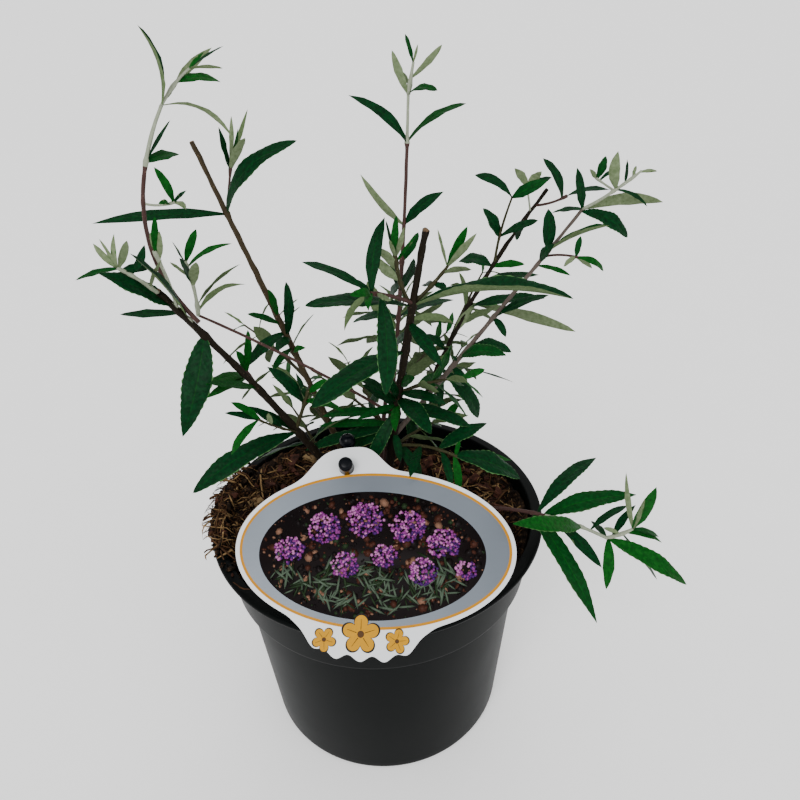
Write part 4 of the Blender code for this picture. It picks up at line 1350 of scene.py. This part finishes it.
@dataclass
class Compost:
    """Coarse coir compost: a heaped uneven bed with crumbs, fibres and bark chips on it."""

    pot: Pot
    level: float = 116.5 * MM
    heap: float = 13 * MM
    heap_bearing: float = math.radians(161)
    bank: float = 12 * MM
    bank_bearing: float = math.radians(-3)
    level_spot: float = 20 * MM
    gap: float = 0.4 * MM
    spill_bearing: float = math.radians(177)
    spill_spread: float = math.radians(13)
    spill_height: float = 2.4 * MM
    bed_edge: float = 76.5 * MM
    lip_inside: float = 77 * MM
    lip_edge: float = 84.5 * MM
    crumbs: int = 2600
    spill_crumbs: int = 900
    fibres: int = 1500
    spill_fibres: int = 240
    chips: int = 260

    def inner_radius(self, height: Array) -> Array:
        """The pot's inner radius above its step, less a gap.

        Args:
            height: Heights in metres.

        Returns:
            The radii.
        """
        share = (height - self.pot.height + self.pot.collar_depth) / self.pot.collar_depth
        outer = self.pot.collar_foot + (self.pot.collar_top - self.pot.collar_foot) * share
        return outer - self.pot.wall - self.gap

    def surface(self, x: Array, y: Array) -> Array:
        """Height of the bed: level about the foot, then up to the heap by the cosine of the bearing from it
        and up to a low bank by a bell curve of the bearing, with lumps that are products of sines.

        Args:
            x: Places across, in metres.
            y: Places along, in metres.

        Returns:
            Heights in metres.
        """
        bearing = np.arctan2(y, x)
        slope = np.maximum(0, np.hypot(x, y) - self.level_spot) / (self.pot.rim_radius - self.level_spot)
        height = self.level + self.heap * slope * np.maximum(0, np.cos(bearing - self.heap_bearing))
        height = height + self.bank * slope**3 * np.exp(-(((bearing - self.bank_bearing) / 0.55) ** 2))
        for size, deep, phase in ((17, 1.1, 0.4), (8.3, 0.8, 2.1), (3.7, 0.5, 4.4), (2.1, 0.3, 1.2)):
            a = TAU * (x + 0.35 * y) / (size * MM) + phase
            b = TAU * (y - 0.45 * x) / (size * MM) - 2 * phase
            height = height + deep * MM * np.sin(a + 1.3 * np.sin(b)) * np.cos(b + 0.9 * np.sin(a * 0.7))
        return height

    def ground(self, x: Array, y: Array) -> Array:
        """Height of what lies on top: the bed, and beyond the wall a low mound on the lip, which is a bell
        curve of the bearing and falls away by the square past the lip's edge.

        Args:
            x: Places across, in metres.
            y: Places along, in metres.

        Returns:
            Heights in metres.
        """
        reach = np.hypot(x, y)
        off = (np.arctan2(y, x) % TAU - self.spill_bearing) / (1.6 * self.spill_spread)
        mound = self.pot.height + self.spill_height * np.exp(-(off**2))
        mound = mound - np.maximum(0, reach - self.lip_edge) ** 2 / (14 * MM)
        inside = np.minimum(self.surface(x, y), self.pot.height + 1.5 * MM)
        return np.where(reach > self.lip_inside, mound, inside)

    def build(self) -> None:
        """Build the bed, then what lies on it."""
        earth = ((0.34, (0.0018, 0.0011, 0.0008)), (0.50, (0.011, 0.006, 0.0032)),
                 (0.62, (0.046, 0.025, 0.013)), (0.76, (0.13, 0.075, 0.038)))
        rust = ((0.35, (0.016, 0.006, 0.004)), (0.6, (0.060, 0.022, 0.014)), (0.75, (0.12, 0.05, 0.032)))
        pale = ((0.35, (0.10, 0.065, 0.03)), (0.6, (0.20, 0.13, 0.06)), (0.75, (0.30, 0.22, 0.11)))
        straw = ((0.35, (0.13, 0.075, 0.03)), (0.6, (0.26, 0.16, 0.07)), (0.8, (0.42, 0.29, 0.15)))
        tan = ((0.35, (0.032, 0.014, 0.006)), (0.6, (0.075, 0.035, 0.014)), (0.8, (0.14, 0.07, 0.03)))
        dark = ((0.35, (0.003, 0.0015, 0.001)), (0.6, (0.010, 0.005, 0.003)), (0.8, (0.025, 0.012, 0.007)))
        self.bed, *others = [EarthFinish(*row).make() for row in (
            ("compost_dark", earth, 330, 0.9), ("bark_chip_rust", rust, 260, 0.5),
            ("wood_chip_pale", pale, 260, 0.4), ("coir_straw", straw, 300, 0.2, 0.75),
            ("coir_tan", tan, 300, 0.2, 0.8), ("coir_dark", dark, 300, 0.2))]
        self.chip_finishes, self.fibre_finishes = others[:2], others[2:]
        self.build_bed()
        chance = np.random.default_rng(SEED + 50)
        self.build_crumbs(chance)
        self.build_fibres(chance)
        self.build_chips(chance)

    def build_bed(self) -> None:
        """Build the bed as a closed solid: its top on a polar grid, its sides down the pot's wall."""
        segments, rings = 264, 88
        angle = bearings(segments)
        shares = np.linspace(1, 1 / rings, rings)[:, None]
        edge = self.inner_radius(np.full(segments, self.level))
        for _ in range(3):
            edge = self.inner_radius(self.surface(edge * np.cos(angle), edge * np.sin(angle)))
        x = shares * edge * np.cos(angle)
        y = shares * edge * np.sin(angle)
        top = np.stack([x, y, self.surface(x, y)], axis=-1)
        sides = np.array([(60, 2.0), (63.0, 5.6), (71.3, 100), (75.3, 103.4)]) * MM
        wall = np.stack(np.broadcast_arrays(sides[:, :1] * np.cos(angle), sides[:, :1] * np.sin(angle),
                                            sides[:, 1:]), axis=-1)
        middle = (0, 0, self.surface(np.zeros(1), np.zeros(1))[0])
        form = Form()
        form.tube(np.concatenate([wall, top]), [(0, 0, 2.0 * MM), middle])
        settle(form.piece("compost_bed", [self.bed]), ("compost",))

    def places(self, chance: Chance, count: int, margin: float) -> Array:
        """Points spread evenly over the bed, off the foot.

        Args:
            chance: Seeded random numbers.
            count: How many.
            margin: How far they keep from the wall.

        Returns:
            The points, (count, 3).
        """
        bearing = chance.uniform(0, TAU, count)
        reach = np.sqrt(chance.uniform(0.02, 1, count)) * (self.bed_edge - margin)
        x, y = reach * np.cos(bearing), reach * np.sin(bearing)
        return np.stack([x, y, self.surface(x, y)], axis=1)

    def spill_places(self, chance: Chance, count: int) -> Array:
        """Points on the mound that has spilled over the lip.

        Args:
            chance: Seeded random numbers.
            count: How many.

        Returns:
            The points, (count, 3).
        """
        bearing = self.spill_bearing + chance.normal(0, self.spill_spread, count)
        reach = chance.uniform(71, 85.5, count) * MM
        x, y = reach * np.cos(bearing), reach * np.sin(bearing)
        return np.stack([x, y, self.ground(x, y) - 0.3 * MM], axis=1)

    def build_crumbs(self, chance: Chance) -> None:
        """Scatter crumbs: twenty-sided lumps, squashed and dented at random.

        Args:
            chance: Seeded random numbers.
        """
        golden = (1 + math.sqrt(5)) / 2
        four = np.array([(-1, golden, 0), (1, golden, 0), (-1, -golden, 0), (1, -golden, 0)])
        corners = unit(np.concatenate([four, np.roll(four, 1, axis=1), np.roll(four, 2, axis=1)]))
        sides = np.array([(0, 11, 5), (0, 5, 1), (0, 1, 7), (0, 7, 10), (0, 10, 11), (1, 5, 9),
                          (5, 11, 4), (11, 10, 2), (10, 7, 6), (7, 1, 8), (3, 9, 4), (3, 4, 2),
                          (3, 2, 6), (3, 6, 8), (3, 8, 9), (4, 9, 5), (2, 4, 11), (6, 2, 10),
                          (8, 6, 7), (9, 8, 1)])
        count = self.crumbs + self.spill_crumbs
        seat = np.concatenate([self.places(chance, self.crumbs, 2 * MM),
                               self.spill_places(chance, self.spill_crumbs)])
        size = 0.45 * MM + chance.gamma(1.8, 0.36 * MM, count).clip(0, 2.4 * MM)
        scale = size[:, None, None] * chance.uniform(0.55, 1.2, (count, 1, 3))
        dented = corners * chance.uniform(0.55, 1.3, (count, 12, 1)) * scale
        points = seat[:, None] + dented + np.array((0, 0, 0.25)) * size[:, None, None]
        faces = sides[None] + 12 * np.arange(count)[:, None, None]
        kinds = np.repeat(chance.choice(3, count, p=(0.66, 0.24, 0.10)), 20)
        form = Form()
        form.add(points.reshape(-1, 3), [faces.reshape(-1, 3)], [kinds])
        crumb_finishes = [self.bed, self.chip_finishes[0], self.fibre_finishes[1]]
        settle(form.piece("compost_crumbs", crumb_finishes))

    def fibre_tubes(self, paths: Array, thick: Array, kinds: Array) -> Form:
        """Three-sided tubes along many paths at once, thinner at both ends, closed by a face at each end.

        Args:
            paths: Points of each path, (count, stations, 3).
            thick: Radius of each fibre.
            kinds: Material index of each fibre.

        Returns:
            The form that holds them all.
        """
        count, stations, _ = paths.shape
        forward = unit(np.gradient(paths, axis=1))
        first = unit(np.cross(forward, np.array((0.13, 0.21, 0.97))))
        second = np.cross(forward, first)
        taper = thick[:, None] * (1 - 0.75 * np.linspace(-1, 1, stations) ** 4)
        angle = bearings(3)
        offset = np.cos(angle)[:, None] * first[:, :, None] + np.sin(angle)[:, None] * second[:, :, None]
        points = paths[:, :, None] + taper[:, :, None, None] * offset
        single = ring_faces(stations, 3)
        base = 3 * stations * np.arange(count)[:, None, None]
        ends = np.array([(2, 1, 0), tuple(3 * stations - 3 + np.arange(3))])
        form = Form()
        form.add(points.reshape(-1, 3), [(single[None] + base).reshape(-1, 4),
                                         (ends[None] + base).reshape(-1, 3)],
                 [np.repeat(kinds, len(single)), np.repeat(kinds, 2)])
        return form

    def build_fibres(self, chance: Chance) -> None:
        """Lay nearly straight fibres over the bed, and a tangle of them over the spill, each with a random
        heading, curl, arch and lean.

        Args:
            chance: Seeded random numbers.
        """
        along = np.linspace(0, 1, 6)
        for name, seat, lean, limit in (
                ("coir_fibres", self.places(chance, self.fibres, MM), 0.9, 0.98),
                ("spill_fibres", self.spill_places(chance, self.spill_fibres), 2.4, 1.16)):
            count = len(seat)
            length = chance.gamma(2.6, 5.0 * MM, count).clip(4 * MM, 34 * MM)
            turn = chance.uniform(0, TAU, count)[:, None] + chance.normal(0, 0.3, count)[:, None] * along
            step = length[:, None] / (len(along) - 1)
            half = length[:, None] / 2
            x = seat[:, :1] + np.cumsum(np.cos(turn) * step, axis=1) - np.cos(turn[:, :1]) * half
            y = seat[:, 1:2] + np.cumsum(np.sin(turn) * step, axis=1) - np.sin(turn[:, :1]) * half
            squeeze = np.minimum(1, limit * self.inner_radius(self.level) / np.hypot(x, y))
            x, y = x * squeeze, y * squeeze
            arch = chance.gamma(1.5, 0.35 * MM, count)[:, None] * 4 * along * (1 - along)
            tilt = chance.normal(0, lean * MM, count)[:, None] * (along - 0.5)
            z = self.ground(x, y) + 0.9 * MM + arch + abs(tilt)
            thick = (0.13 * MM + chance.gamma(1.5, 0.16 * MM, count)).clip(0, 0.85 * MM)
            form = self.fibre_tubes(np.stack([x, y, z], axis=-1), thick,
                                    chance.choice(3, count, p=(0.26, 0.34, 0.40)))
            settle(form.piece(name, self.fibre_finishes))

    def build_chips(self, chance: Chance) -> None:
        """Scatter flat chips: eight-cornered slabs with random corners, tilted a little.

        Args:
            chance: Seeded random numbers.
        """
        cube = np.array([(-1, -1, -1), (1, -1, -1), (1, 1, -1), (-1, 1, -1), (-1, -1, 1), (1, -1, 1),
                         (1, 1, 1), (-1, 1, 1)], float)
        sides = np.array([(0, 3, 2, 1), (4, 5, 6, 7), (0, 1, 5, 4), (1, 2, 6, 5), (2, 3, 7, 6),
                          (3, 0, 4, 7)])
        seat = self.places(chance, self.chips, 7 * MM)
        half = chance.uniform((1.8, 0.9, 0.35), (6.0, 3.0, 1.1), (self.chips, 3)) * MM
        body = cube * chance.uniform(0.6, 1.1, (self.chips, 8, 3)) * half[:, None]
        turn = chance.uniform(0, TAU, self.chips)
        tilt = chance.normal(0, 0.28, self.chips)
        c, s = np.cos(turn)[:, None], np.sin(turn)[:, None]
        rise = body[..., 0] * np.sin(tilt)[:, None] + body[..., 2] * np.cos(tilt)[:, None]
        flat = body[..., 0] * np.cos(tilt)[:, None] - body[..., 2] * np.sin(tilt)[:, None]
        points = np.stack([flat * c - body[..., 1] * s, flat * s + body[..., 1] * c, rise], axis=-1)
        points = points + seat[:, None] + np.array((0, 0, MM))
        faces = sides[None] + 8 * np.arange(self.chips)[:, None, None]
        kinds = np.repeat(chance.choice(2, self.chips, p=(0.86, 0.14)), 6)
        form = Form()
        form.add(points.reshape(-1, 3), [faces.reshape(-1, 4)], [kinds])
        settle(form.piece("bark_chips", self.chip_finishes, False))


@dataclass
class LabelPlate:
    """The oval label: a thin white plate with a tab, scallops below, and a generic garden print."""

    half_width: float = 62 * MM
    half_height: float = 36 * MM
    thickness: float = 1.2 * MM
    tab_offset: float = -14.5 * MM
    tab_height: float = 11 * MM
    tab_half_width: float = 17 * MM
    scallop_offset: float = -5 * MM
    scallop_depth: float = 10 * MM
    scallop_half_width: float = 26 * MM
    scallop_lobes: float = 2.5
    scallop_wave: float = 0.12
    button_height: float = 36.5 * MM
    hole_radius: float = 3.5 * MM
    picture_centre: tuple = (-1.3 * MM, -2.4 * MM)
    picture_half: tuple = (50.0 * MM, 28.0 * MM)
    points: int = 360

    def place(self) -> Matrix:
        """Place of the plate: X across it, Y up its slope and Z out of its face.

        Returns:
            The place as a matrix.
        """
        turn = Matrix.Rotation(math.radians(-3), 4, "Z")
        lean = Matrix.Rotation(math.radians(38), 4, "X")
        return Matrix.Translation(Vector((-2, -56, 154)) * MM) @ turn @ lean @ turn

    def outline(self, inset: float) -> Array:
        """An oval pushed out by a bell-shaped tab above and by three scallops below, drawn in by an inset.

        Args:
            inset: Distance inside the plate's edge.

        Returns:
            Points of the closed line, counter-clockwise.
        """
        angle = bearings(self.points)
        x = self.half_width * np.cos(angle)
        y = self.half_height * np.sin(angle)
        tab = self.tab_height * np.exp(-(((x - self.tab_offset) / self.tab_half_width) ** 4))
        across = (x - self.scallop_offset) / self.scallop_half_width
        scallop = 1 + self.scallop_wave * np.cos(TAU * self.scallop_lobes * across)
        drop = self.scallop_depth * scallop * np.exp(-(across**6))
        line = np.stack([x, np.where(y > 0, y + tab, y - drop)], axis=1)
        tangent = unit(np.roll(line, -1, axis=0) - np.roll(line, 1, axis=0))
        return line + inset * np.stack([-tangent[:, 1], tangent[:, 0]], axis=1)

    def oval(self, centre: tuple, half_width: float, half_height: float) -> Array:
        """Points of an oval, counter-clockwise, as many as the outline has."""
        return np.array(centre) + np.array((half_width, half_height)) * ways(bearings(self.points))

    def placed(self, form: Form) -> Form:
        """Move a form from the plate's own frame into the shared one.

        Args:
            form: The form, which is changed.

        Returns:
            The form.
        """
        place = np.array(self.place())
        form.points = [points @ place[:3, :3].T + place[:3, 3] for points in form.points]
        return form

    def slab(self, form: Form, rings: list, heights: list, slot: int = 0, hole: Array | None = None) -> None:
        """Add a flat slab through closed rings at heights, with flat ends and perhaps a hole through it.

        Args:
            form: The form that takes it.
            rings: Closed counter-clockwise lines with equal counts, from the bottom up.
            heights: The height of each.
            slot: Its material index.
            hole: A closed counter-clockwise line.
        """
        levels = [at_height(ring, height) for ring, height in zip(rings, heights)]
        count = len(rings[0])
        faces = [ring_faces(len(levels), count)]
        loops = [levels[0], levels[-1]]
        bottom, top = [np.arange(count)], [np.arange(count) + (len(levels) - 1) * count]
        if hole is not None:
            start = len(levels) * count
            levels += [at_height(hole, heights[0]), at_height(hole, heights[-1])]
            faces.append(ring_faces(2, len(hole))[:, ::-1] + start)
            bottom.append(np.arange(len(hole)) + start)
            top.append(np.arange(len(hole)) + start + len(hole))
        for indices, end, way in ((bottom, loops[0], -1), (top, loops[1], 1)):
            lines = [[Vector(point) for point in end.tolist()]]
            if hole is not None:
                lines.append([Vector((*point, end[0, 2])) for point in hole.tolist()])
            order = np.concatenate(indices)
            triangles = np.array(tessellate_polygon(lines))
            flat = np.concatenate([end[:, :2], hole]) if hole is not None else end[:, :2]
            a, b, c = (flat[triangles[:, i]] for i in range(3))
            area = (b - a)[:, 0] * (c - a)[:, 1] - (b - a)[:, 1] * (c - a)[:, 0]
            wrong = area * way < 0
            triangles[wrong] = triangles[wrong][:, ::-1]
            faces.append(order[triangles])
        form.add(np.concatenate(levels), faces, [slot] * len(faces))

    def band(self, form: Form, inner: Array, outer: Array, low: float, high: float, slot: int) -> None:
        """Add a flat closed band between two closed lines of equal counts.

        Args:
            form: The form that takes it.
            inner: The inner line, counter-clockwise.
            outer: The outer line, counter-clockwise.
            low: Height of its underside.
            high: Height of its face.
            slot: Its material index.
        """
        count = len(inner)
        rings = [at_height(outer, low), at_height(outer, high), at_height(inner, high),
                 at_height(inner, low)]
        form.add(np.concatenate(rings), [ring_faces(5, count) % (4 * count)], [slot])

    def build(self) -> None:
        """Build the plate, its silver band, its picture and the blossoms on its scallops."""
        white = PlasticFinish("label_white", (0.72, 0.74, 0.76), (0.80, 0.81, 0.82), 0.25, 0.35, 0.004,
                              0.2).make()
        half = self.thickness / 2
        hole = self.oval((self.tab_offset, self.button_height), self.hole_radius, self.hole_radius)[::8]
        soft, fine = 0.2 * MM, 0.06 * MM
        form = Form()
        self.slab(form, [self.outline(inset) for inset in (soft, fine, 0, 0, fine, soft)],
                  [-half, fine - half, soft - half, half - soft, half - fine, half], hole=hole)
        plate = self.placed(form).piece("label_board", [white], False)
        settle(plate, ("label_plate",))
        self.build_band(half)
        self.build_picture(half, np.random.default_rng(SEED + 80))
        self.build_blossoms(half)

    def build_band(self, face: float) -> None:
        """Build the silver band round the picture, with a thin gold ring at its edge.

        Args:
            face: Height of the plate's face.
        """
        # The silver's light and dark bands are painted reflection.
        silver = BrushedFinish("label_silver_painted_reflection", (0.07, 0.085, 0.105), (0.19, 0.22, 0.255)).make()
        gold = InkFinish("label_gold", (0.42, 0.17, 0.002), (0.50, 0.22, 0.004)).make()
        centre, (wide, high) = self.picture_centre, self.picture_half
        outer_wide, outer_high = self.half_width - 1.9 * MM, self.half_height - 1.9 * MM
        form = Form()
        self.band(form, self.oval(centre, wide - MM, high - MM), self.oval((0, 0), outer_wide, outer_high),
                  face - 0.1 * MM, face + 0.05 * MM, 0)
        ring = 1.15 * MM
        self.band(form, self.oval((0, 0), outer_wide - ring, outer_high - ring),
                  self.oval((0, 0), outer_wide, outer_high), face, face + 0.09 * MM, 1)
        settle(self.placed(form).piece("label_band", [silver, gold], False))

    def scatter(self, chance: Chance, count: int, size: Array) -> Array:
        """Places inside the picture, each its own size away from the picture's edge.

        Args:
            chance: Seeded random numbers.
            count: How many.
            size: Size of each.

        Returns:
            Places, (count, 2).
        """
        angle = chance.uniform(0, TAU, count)
        reach = np.sqrt(chance.uniform(0, 1, count))
        room = np.array(self.picture_half) - size[:, None]
        return np.array(self.picture_centre) + room * reach[:, None] * ways(angle)

    def petals(self, form: Form, places: Array, size: Array, stretch: object, turn: Array,
               low: Array, rise: float, slots: Array, sides: int) -> None:
        """Add many flat many-sided scales at once, each a low closed cone.

        Args:
            form: The form that takes them.
            places: Their middles, (count, 2).
            size: Their radii along their length.
            stretch: Their width over their length.
            turn: Their angles.
            low: Heights of their rims.
            rise: How far their peaks stand over the rims.
            slots: Their material indices.
            sides: Points round each.
        """
        count = len(places)
        angle = bearings(sides)
        along = size[:, None] * np.cos(angle)
        beside = (size * stretch)[:, None] * np.sin(angle)
        c, s = np.cos(turn)[:, None], np.sin(turn)[:, None]
        x = places[:, :1] + along * c - beside * s
        y = places[:, 1:] + along * s + beside * c
        rims = np.stack([x, y, np.broadcast_to(low[:, None], x.shape)], axis=-1)
        peaks = np.column_stack([places, low + rise])[:, None]
        feet = np.column_stack([places, low - 0.05 * MM])[:, None]
        points = np.concatenate([rims, peaks, feet], axis=1)
        ring = np.arange(sides)
        single = np.concatenate([fan_faces(sides, ring, True), fan_faces(sides + 1, ring, False)])
        base = (sides + 2) * np.arange(count)[:, None, None]
        form.add(points.reshape(-1, 3), [(single[None] + base).reshape(-1, 3)],
                 [np.repeat(slots, 2 * sides)])

    def build_picture(self, face: float, chance: Chance) -> None:
        """Build the printed picture: dark ground, tan and rust pebbles, grey-green foliage along the lower
        side, and round flower heads made of florets.

        Args:
            face: Height of the plate's face.
            chance: Seeded random numbers.
        """
        inks = [InkFinish(*row).make() for row in (
            ("ink_shade", (0.0015, 0.001, 0.0015), (0.008, 0.004, 0.004), 90),
            ("ink_rust", (0.025, 0.007, 0.004), (0.06, 0.018, 0.010)),
            ("ink_tan", (0.12, 0.055, 0.033), (0.24, 0.125, 0.08)),
            ("ink_grey_green", (0.035, 0.055, 0.035), (0.09, 0.125, 0.085)),
            ("ink_deep_green", (0.005, 0.013, 0.005), (0.018, 0.035, 0.012)),
            ("ink_violet", (0.035, 0.006, 0.075), (0.07, 0.014, 0.13)),
            ("ink_mauve", (0.16, 0.022, 0.15), (0.26, 0.045, 0.23)),
            ("ink_pink", (0.34, 0.09, 0.27), (0.50, 0.20, 0.42)))]
        form = Form()
        ground = self.oval(self.picture_centre, *self.picture_half)
        self.slab(form, [ground, ground], [face - 0.1 * MM, face + 0.06 * MM])
        count = 900
        size = chance.gamma(2.2, 0.42 * MM, count).clip(0.4 * MM, 2.4 * MM)
        base = face + 0.065 * MM + np.arange(count) * 2e-8
        self.petals(form, self.scatter(chance, count, size), size, chance.uniform(0.55, 0.95, count),
                    chance.uniform(0, TAU, count), base, 0.03 * MM,
                    chance.choice((0, 1, 2, 4), count, p=(0.38, 0.36, 0.16, 0.10)), 7)
        count = 520
        size = chance.uniform(2.2, 5.2, count) * MM
        places = self.scatter(chance, count, size)
        kept = places[:, 1] + 0.004 * np.sin(places[:, 0] / (6 * MM)) < -9 * MM + chance.normal(
            0, 3.5 * MM, count)
        places, size = places[kept], size[kept]
        count = len(places)
        base = face + 0.10 * MM + np.arange(count) * 4e-8
        self.petals(form, places, size, 0.13, chance.uniform(0, math.pi, count), base, 0.02 * MM,
                    chance.choice((3, 4), count, p=(0.7, 0.3)), 6)
        heads = np.array([(-38, -1, 6.5), (-23, 9, 7.5), (-5, 13, 8.5), (14, 10, 8), (30, 3, 7),
                          (-13, -7, 6), (21, -9, 6.5), (40, -8, 4.5), (4, -3, 5.5)]) * MM
        for x, y, radius in heads:
            count = int(150 * (radius / (7 * MM)) ** 2)
            angle = chance.uniform(0, TAU, count)
            reach = np.sqrt(chance.uniform(0, 1, count)) * radius
            reach = reach * (1 + 0.06 * np.sin(7 * angle))
            places = np.array((x, y)) + reach[:, None] * (1, 0.9) * ways(angle)
            light = (places[:, 0] - x - places[:, 1] + y) / radius * -0.25 + chance.uniform(0, 1, count)
            slots = np.where(light > 0.72, 7, np.where(light > 0.28, 6, 5))
            size = chance.uniform(0.55, 0.95, count) * MM
            base = face + 0.14 * MM + np.arange(count) * 3e-7
            self.petals(form, places, size, 0.9, chance.uniform(0, TAU, count), base, 0.05 * MM,
                        slots, 5)
        settle(self.placed(form).piece("label_picture", inks))

    def build_blossoms(self, face: float) -> None:
        """Build three gold five-petal blossoms with fine dark edges on the scalloped lower side.

        The radius of a blossom is its size times 0.55 + 0.45 |cos(2.5 angle)|^0.7.

        Args:
            face: Height of the plate's face.
        """
        inks = [InkFinish(*row).make() for row in (
            ("blossom_gold", (0.46, 0.21, 0.002), (0.56, 0.27, 0.004)),
            ("blossom_edge", (0.006, 0.004, 0.003), (0.012, 0.008, 0.006)),
            ("blossom_eye", (0.05, 0.02, 0.005), (0.09, 0.04, 0.01)))]
        form = Form()
        angle = bearings(120)
        blossoms = ((-5.0, -36.0, 8.6, 0.31, 0.0), (-20.5, -38.5, 5.4, 1.0, 0.03),
                    (10.5, -38.5, 5.4, 0.1, 0.06))
        for x, y, size, turn, lift in blossoms:
            radius = (0.55 + 0.45 * abs(np.cos(2.5 * (angle - turn))) ** 0.7) * size * MM
            way = ways(angle)
            middle = np.array((x, y)) * MM
            low = face + (0.11 + lift) * MM
            for scale, slot, rise in ((1.0, 1, 0.0), (0.91, 0, 0.02)):
                line = middle + radius[:, None] * way * scale
                self.slab(form, [line, line], [low - 0.12 * MM, low + rise * MM], slot)
            for petal in range(5):
                head = ways(turn + petal * TAU / 5)
                beside = np.array((-head[1], head[0]))
                line = middle + np.array([0.22 * head - 0.018 * beside, 0.72 * head - 0.008 * beside,
                                          0.72 * head + 0.008 * beside,
                                          0.22 * head + 0.018 * beside]) * size * MM
                self.slab(form, [line, line], [low, low + 0.035 * MM], 1)
            line = middle + way * 0.17 * size * MM
            self.slab(form, [line, line], [low, low + 0.05 * MM], 2)
        settle(self.placed(form).piece("label_blossoms", inks, False))


@dataclass
class LabelPeg:
    """The black peg behind the label: a square stake with a round knob, and a button through the tab."""

    plate: LabelPlate
    stake_width: float = 4.6 * MM
    stake_foot: float = 55 * MM
    stake_top: float = 186 * MM
    knob_radius: float = 3.8 * MM
    button_radius: float = 3.0 * MM
    head_radius: float = 3.4 * MM
    head_length: float = 8 * MM
    reach: float = 22 * MM

    def build(self) -> None:
        """Build stake, knob and button as one piece."""
        gloss = PlasticFinish("peg_black_gloss", (0.0010, 0.0016, 0.0030), (0.0018, 0.0026, 0.0045), 0.2,
                              0.3, 0.001, 0.1).make()
        place = self.plate.place()
        button = Vector((self.plate.tab_offset, self.plate.button_height, 0))
        middle = place @ button - (place.to_3x3() @ Vector((0, 0, 1))) * self.reach
        seat = np.array((middle.x, middle.y, 0))
        form = Form()
        half = self.stake_width / 2
        edge = 0.5 * MM
        corner = np.array([(half, half - edge), (half - edge, half), (edge - half, half),
                           (-half, half - edge), (-half, edge - half), (edge - half, -half),
                           (half - edge, -half), (half, edge - half)])
        levels = [(self.stake_foot - 3 * half, 0.08), (self.stake_foot, 0.94),
                  (self.stake_foot + MM, 1.0), (self.stake_top - 9 * MM, 1.0),
                  (self.stake_top - 8 * MM, 0.86), (self.stake_top - 7 * MM, 0.8)]
        self.plate.slab(form, [corner * scale for _, scale in levels], [z for z, _ in levels])
        knob = arc((0, self.stake_top - self.knob_radius), self.knob_radius, -90, 90, 18)
        knob[[0, -1], 0] = 0
        revolve(form, knob, 40)
        form.points = [points + seat for points in form.points]
        head = 0.4 * MM + self.plate.thickness / 2
        profile = np.concatenate([
            [(0, -self.reach), (self.button_radius - 0.3 * MM, -self.reach)],
            [(self.button_radius, -self.reach + 0.3 * MM), (self.button_radius, head)],
            [(self.head_radius - 0.3 * MM, head), (self.head_radius, head + 0.3 * MM)],
            [(self.head_radius - 0.1 * MM, head + self.head_length - 2 * MM)],
            arc((self.head_radius - 1.9 * MM, head + self.head_length - 1.8 * MM), 1.8 * MM, 5, 90, 6),
            [(0, head + self.head_length + 0.1 * MM)]])
        pin = Form()
        revolve(pin, profile, 40)
        pin.points[0][:, 0] += self.plate.tab_offset
        pin.points[0][:, 1] += self.plate.button_height
        self.plate.placed(pin)
        form.add(pin.points[0], pin.faces, pin.slots)
        settle(form.piece("peg_stake", [gloss]), ("label_peg",))


@dataclass
class Studio:
    """A plain pale floor, soft lights and the camera at the photograph's angle."""

    floor_half: float = 10.0
    floor_glow: float = 0.32
    lens: float = 33.29
    eye: tuple = (0.0, -0.2967, 0.3846)
    forward: tuple = (0.03876, 0.84265, -0.53707)
    right: tuple = (0.99749, -0.06451, -0.02921)
    suns: tuple = (("key_sun", (42, -24, 0), 28, 1.9), ("fill_sun", (38, 40, 0), 45, 0.7),
                   ("back_sun", (-40, 8, 0), 50, 0.6))

    def build(self) -> None:
        """Lay the floor, hang the lights and set the camera."""
        half = self.floor_half
        mesh = bpy.data.meshes.new("studio_floor")
        mesh.from_pydata([(-half, -half, 0), (half, -half, 0), (half, half, 0), (-half, half, 0)], [],
                         [(0, 1, 2, 3)])
        floor = bpy.data.objects.new("studio_floor", mesh)
        bpy.context.scene.collection.objects.link(floor)
        white = PlasticFinish("floor_white", (0.86, 0.86, 0.86), (0.9, 0.9, 0.9), 0.6, 0.7, 0.0).make()
        shader = white.node_tree.nodes["Principled BSDF"]
        shader.inputs["Emission Color"].default_value = (1, 1, 1, 1)
        shader.inputs["Emission Strength"].default_value = self.floor_glow
        mesh.materials.append(white)
        world = bpy.data.worlds.new("studio_world")
        world.use_nodes = True
        background = world.node_tree.nodes["Background"].inputs
        background["Color"].default_value = (1, 1, 1, 1)
        background["Strength"].default_value = 0.8
        bpy.context.scene.world = world
        for name, tilt, spread, strength in self.suns:
            lamp = bpy.data.lights.new(name, "SUN")
            lamp.angle = math.radians(spread)
            lamp.energy = strength
            light = bpy.data.objects.new(name, lamp)
            light.rotation_euler = [math.radians(angle) for angle in tilt]
            bpy.context.scene.collection.objects.link(light)
        self.build_camera()

    def build_camera(self) -> None:
        """Set the camera that was fitted to the pot's outline in the photograph."""
        lens = bpy.data.cameras.new("photo_camera")
        lens.lens = self.lens
        lens.sensor_width = 36
        camera = bpy.data.objects.new("photo_camera", lens)
        right = Vector(self.right).normalized()
        back = -Vector(self.forward).normalized()
        up = back.cross(right).normalized()
        turn = Matrix((right, up, back)).transposed().to_4x4()
        camera.matrix_world = Matrix.Translation(self.eye) @ turn
        bpy.context.scene.collection.objects.link(camera)
        bpy.context.scene.camera = camera


def main() -> None:
    """Build the studio, then the pot, its compost, the label and the plant."""
    logging.basicConfig(level=logging.INFO, format="%(name)s %(message)s")
    Studio().build()
    pot = Pot()
    pot.build()
    Compost(pot).build()
    plate = LabelPlate()
    plate.build()
    LabelPeg(plate).build()
    Crown(Skeleton()).build()


if __name__ == "__main__":
    main()
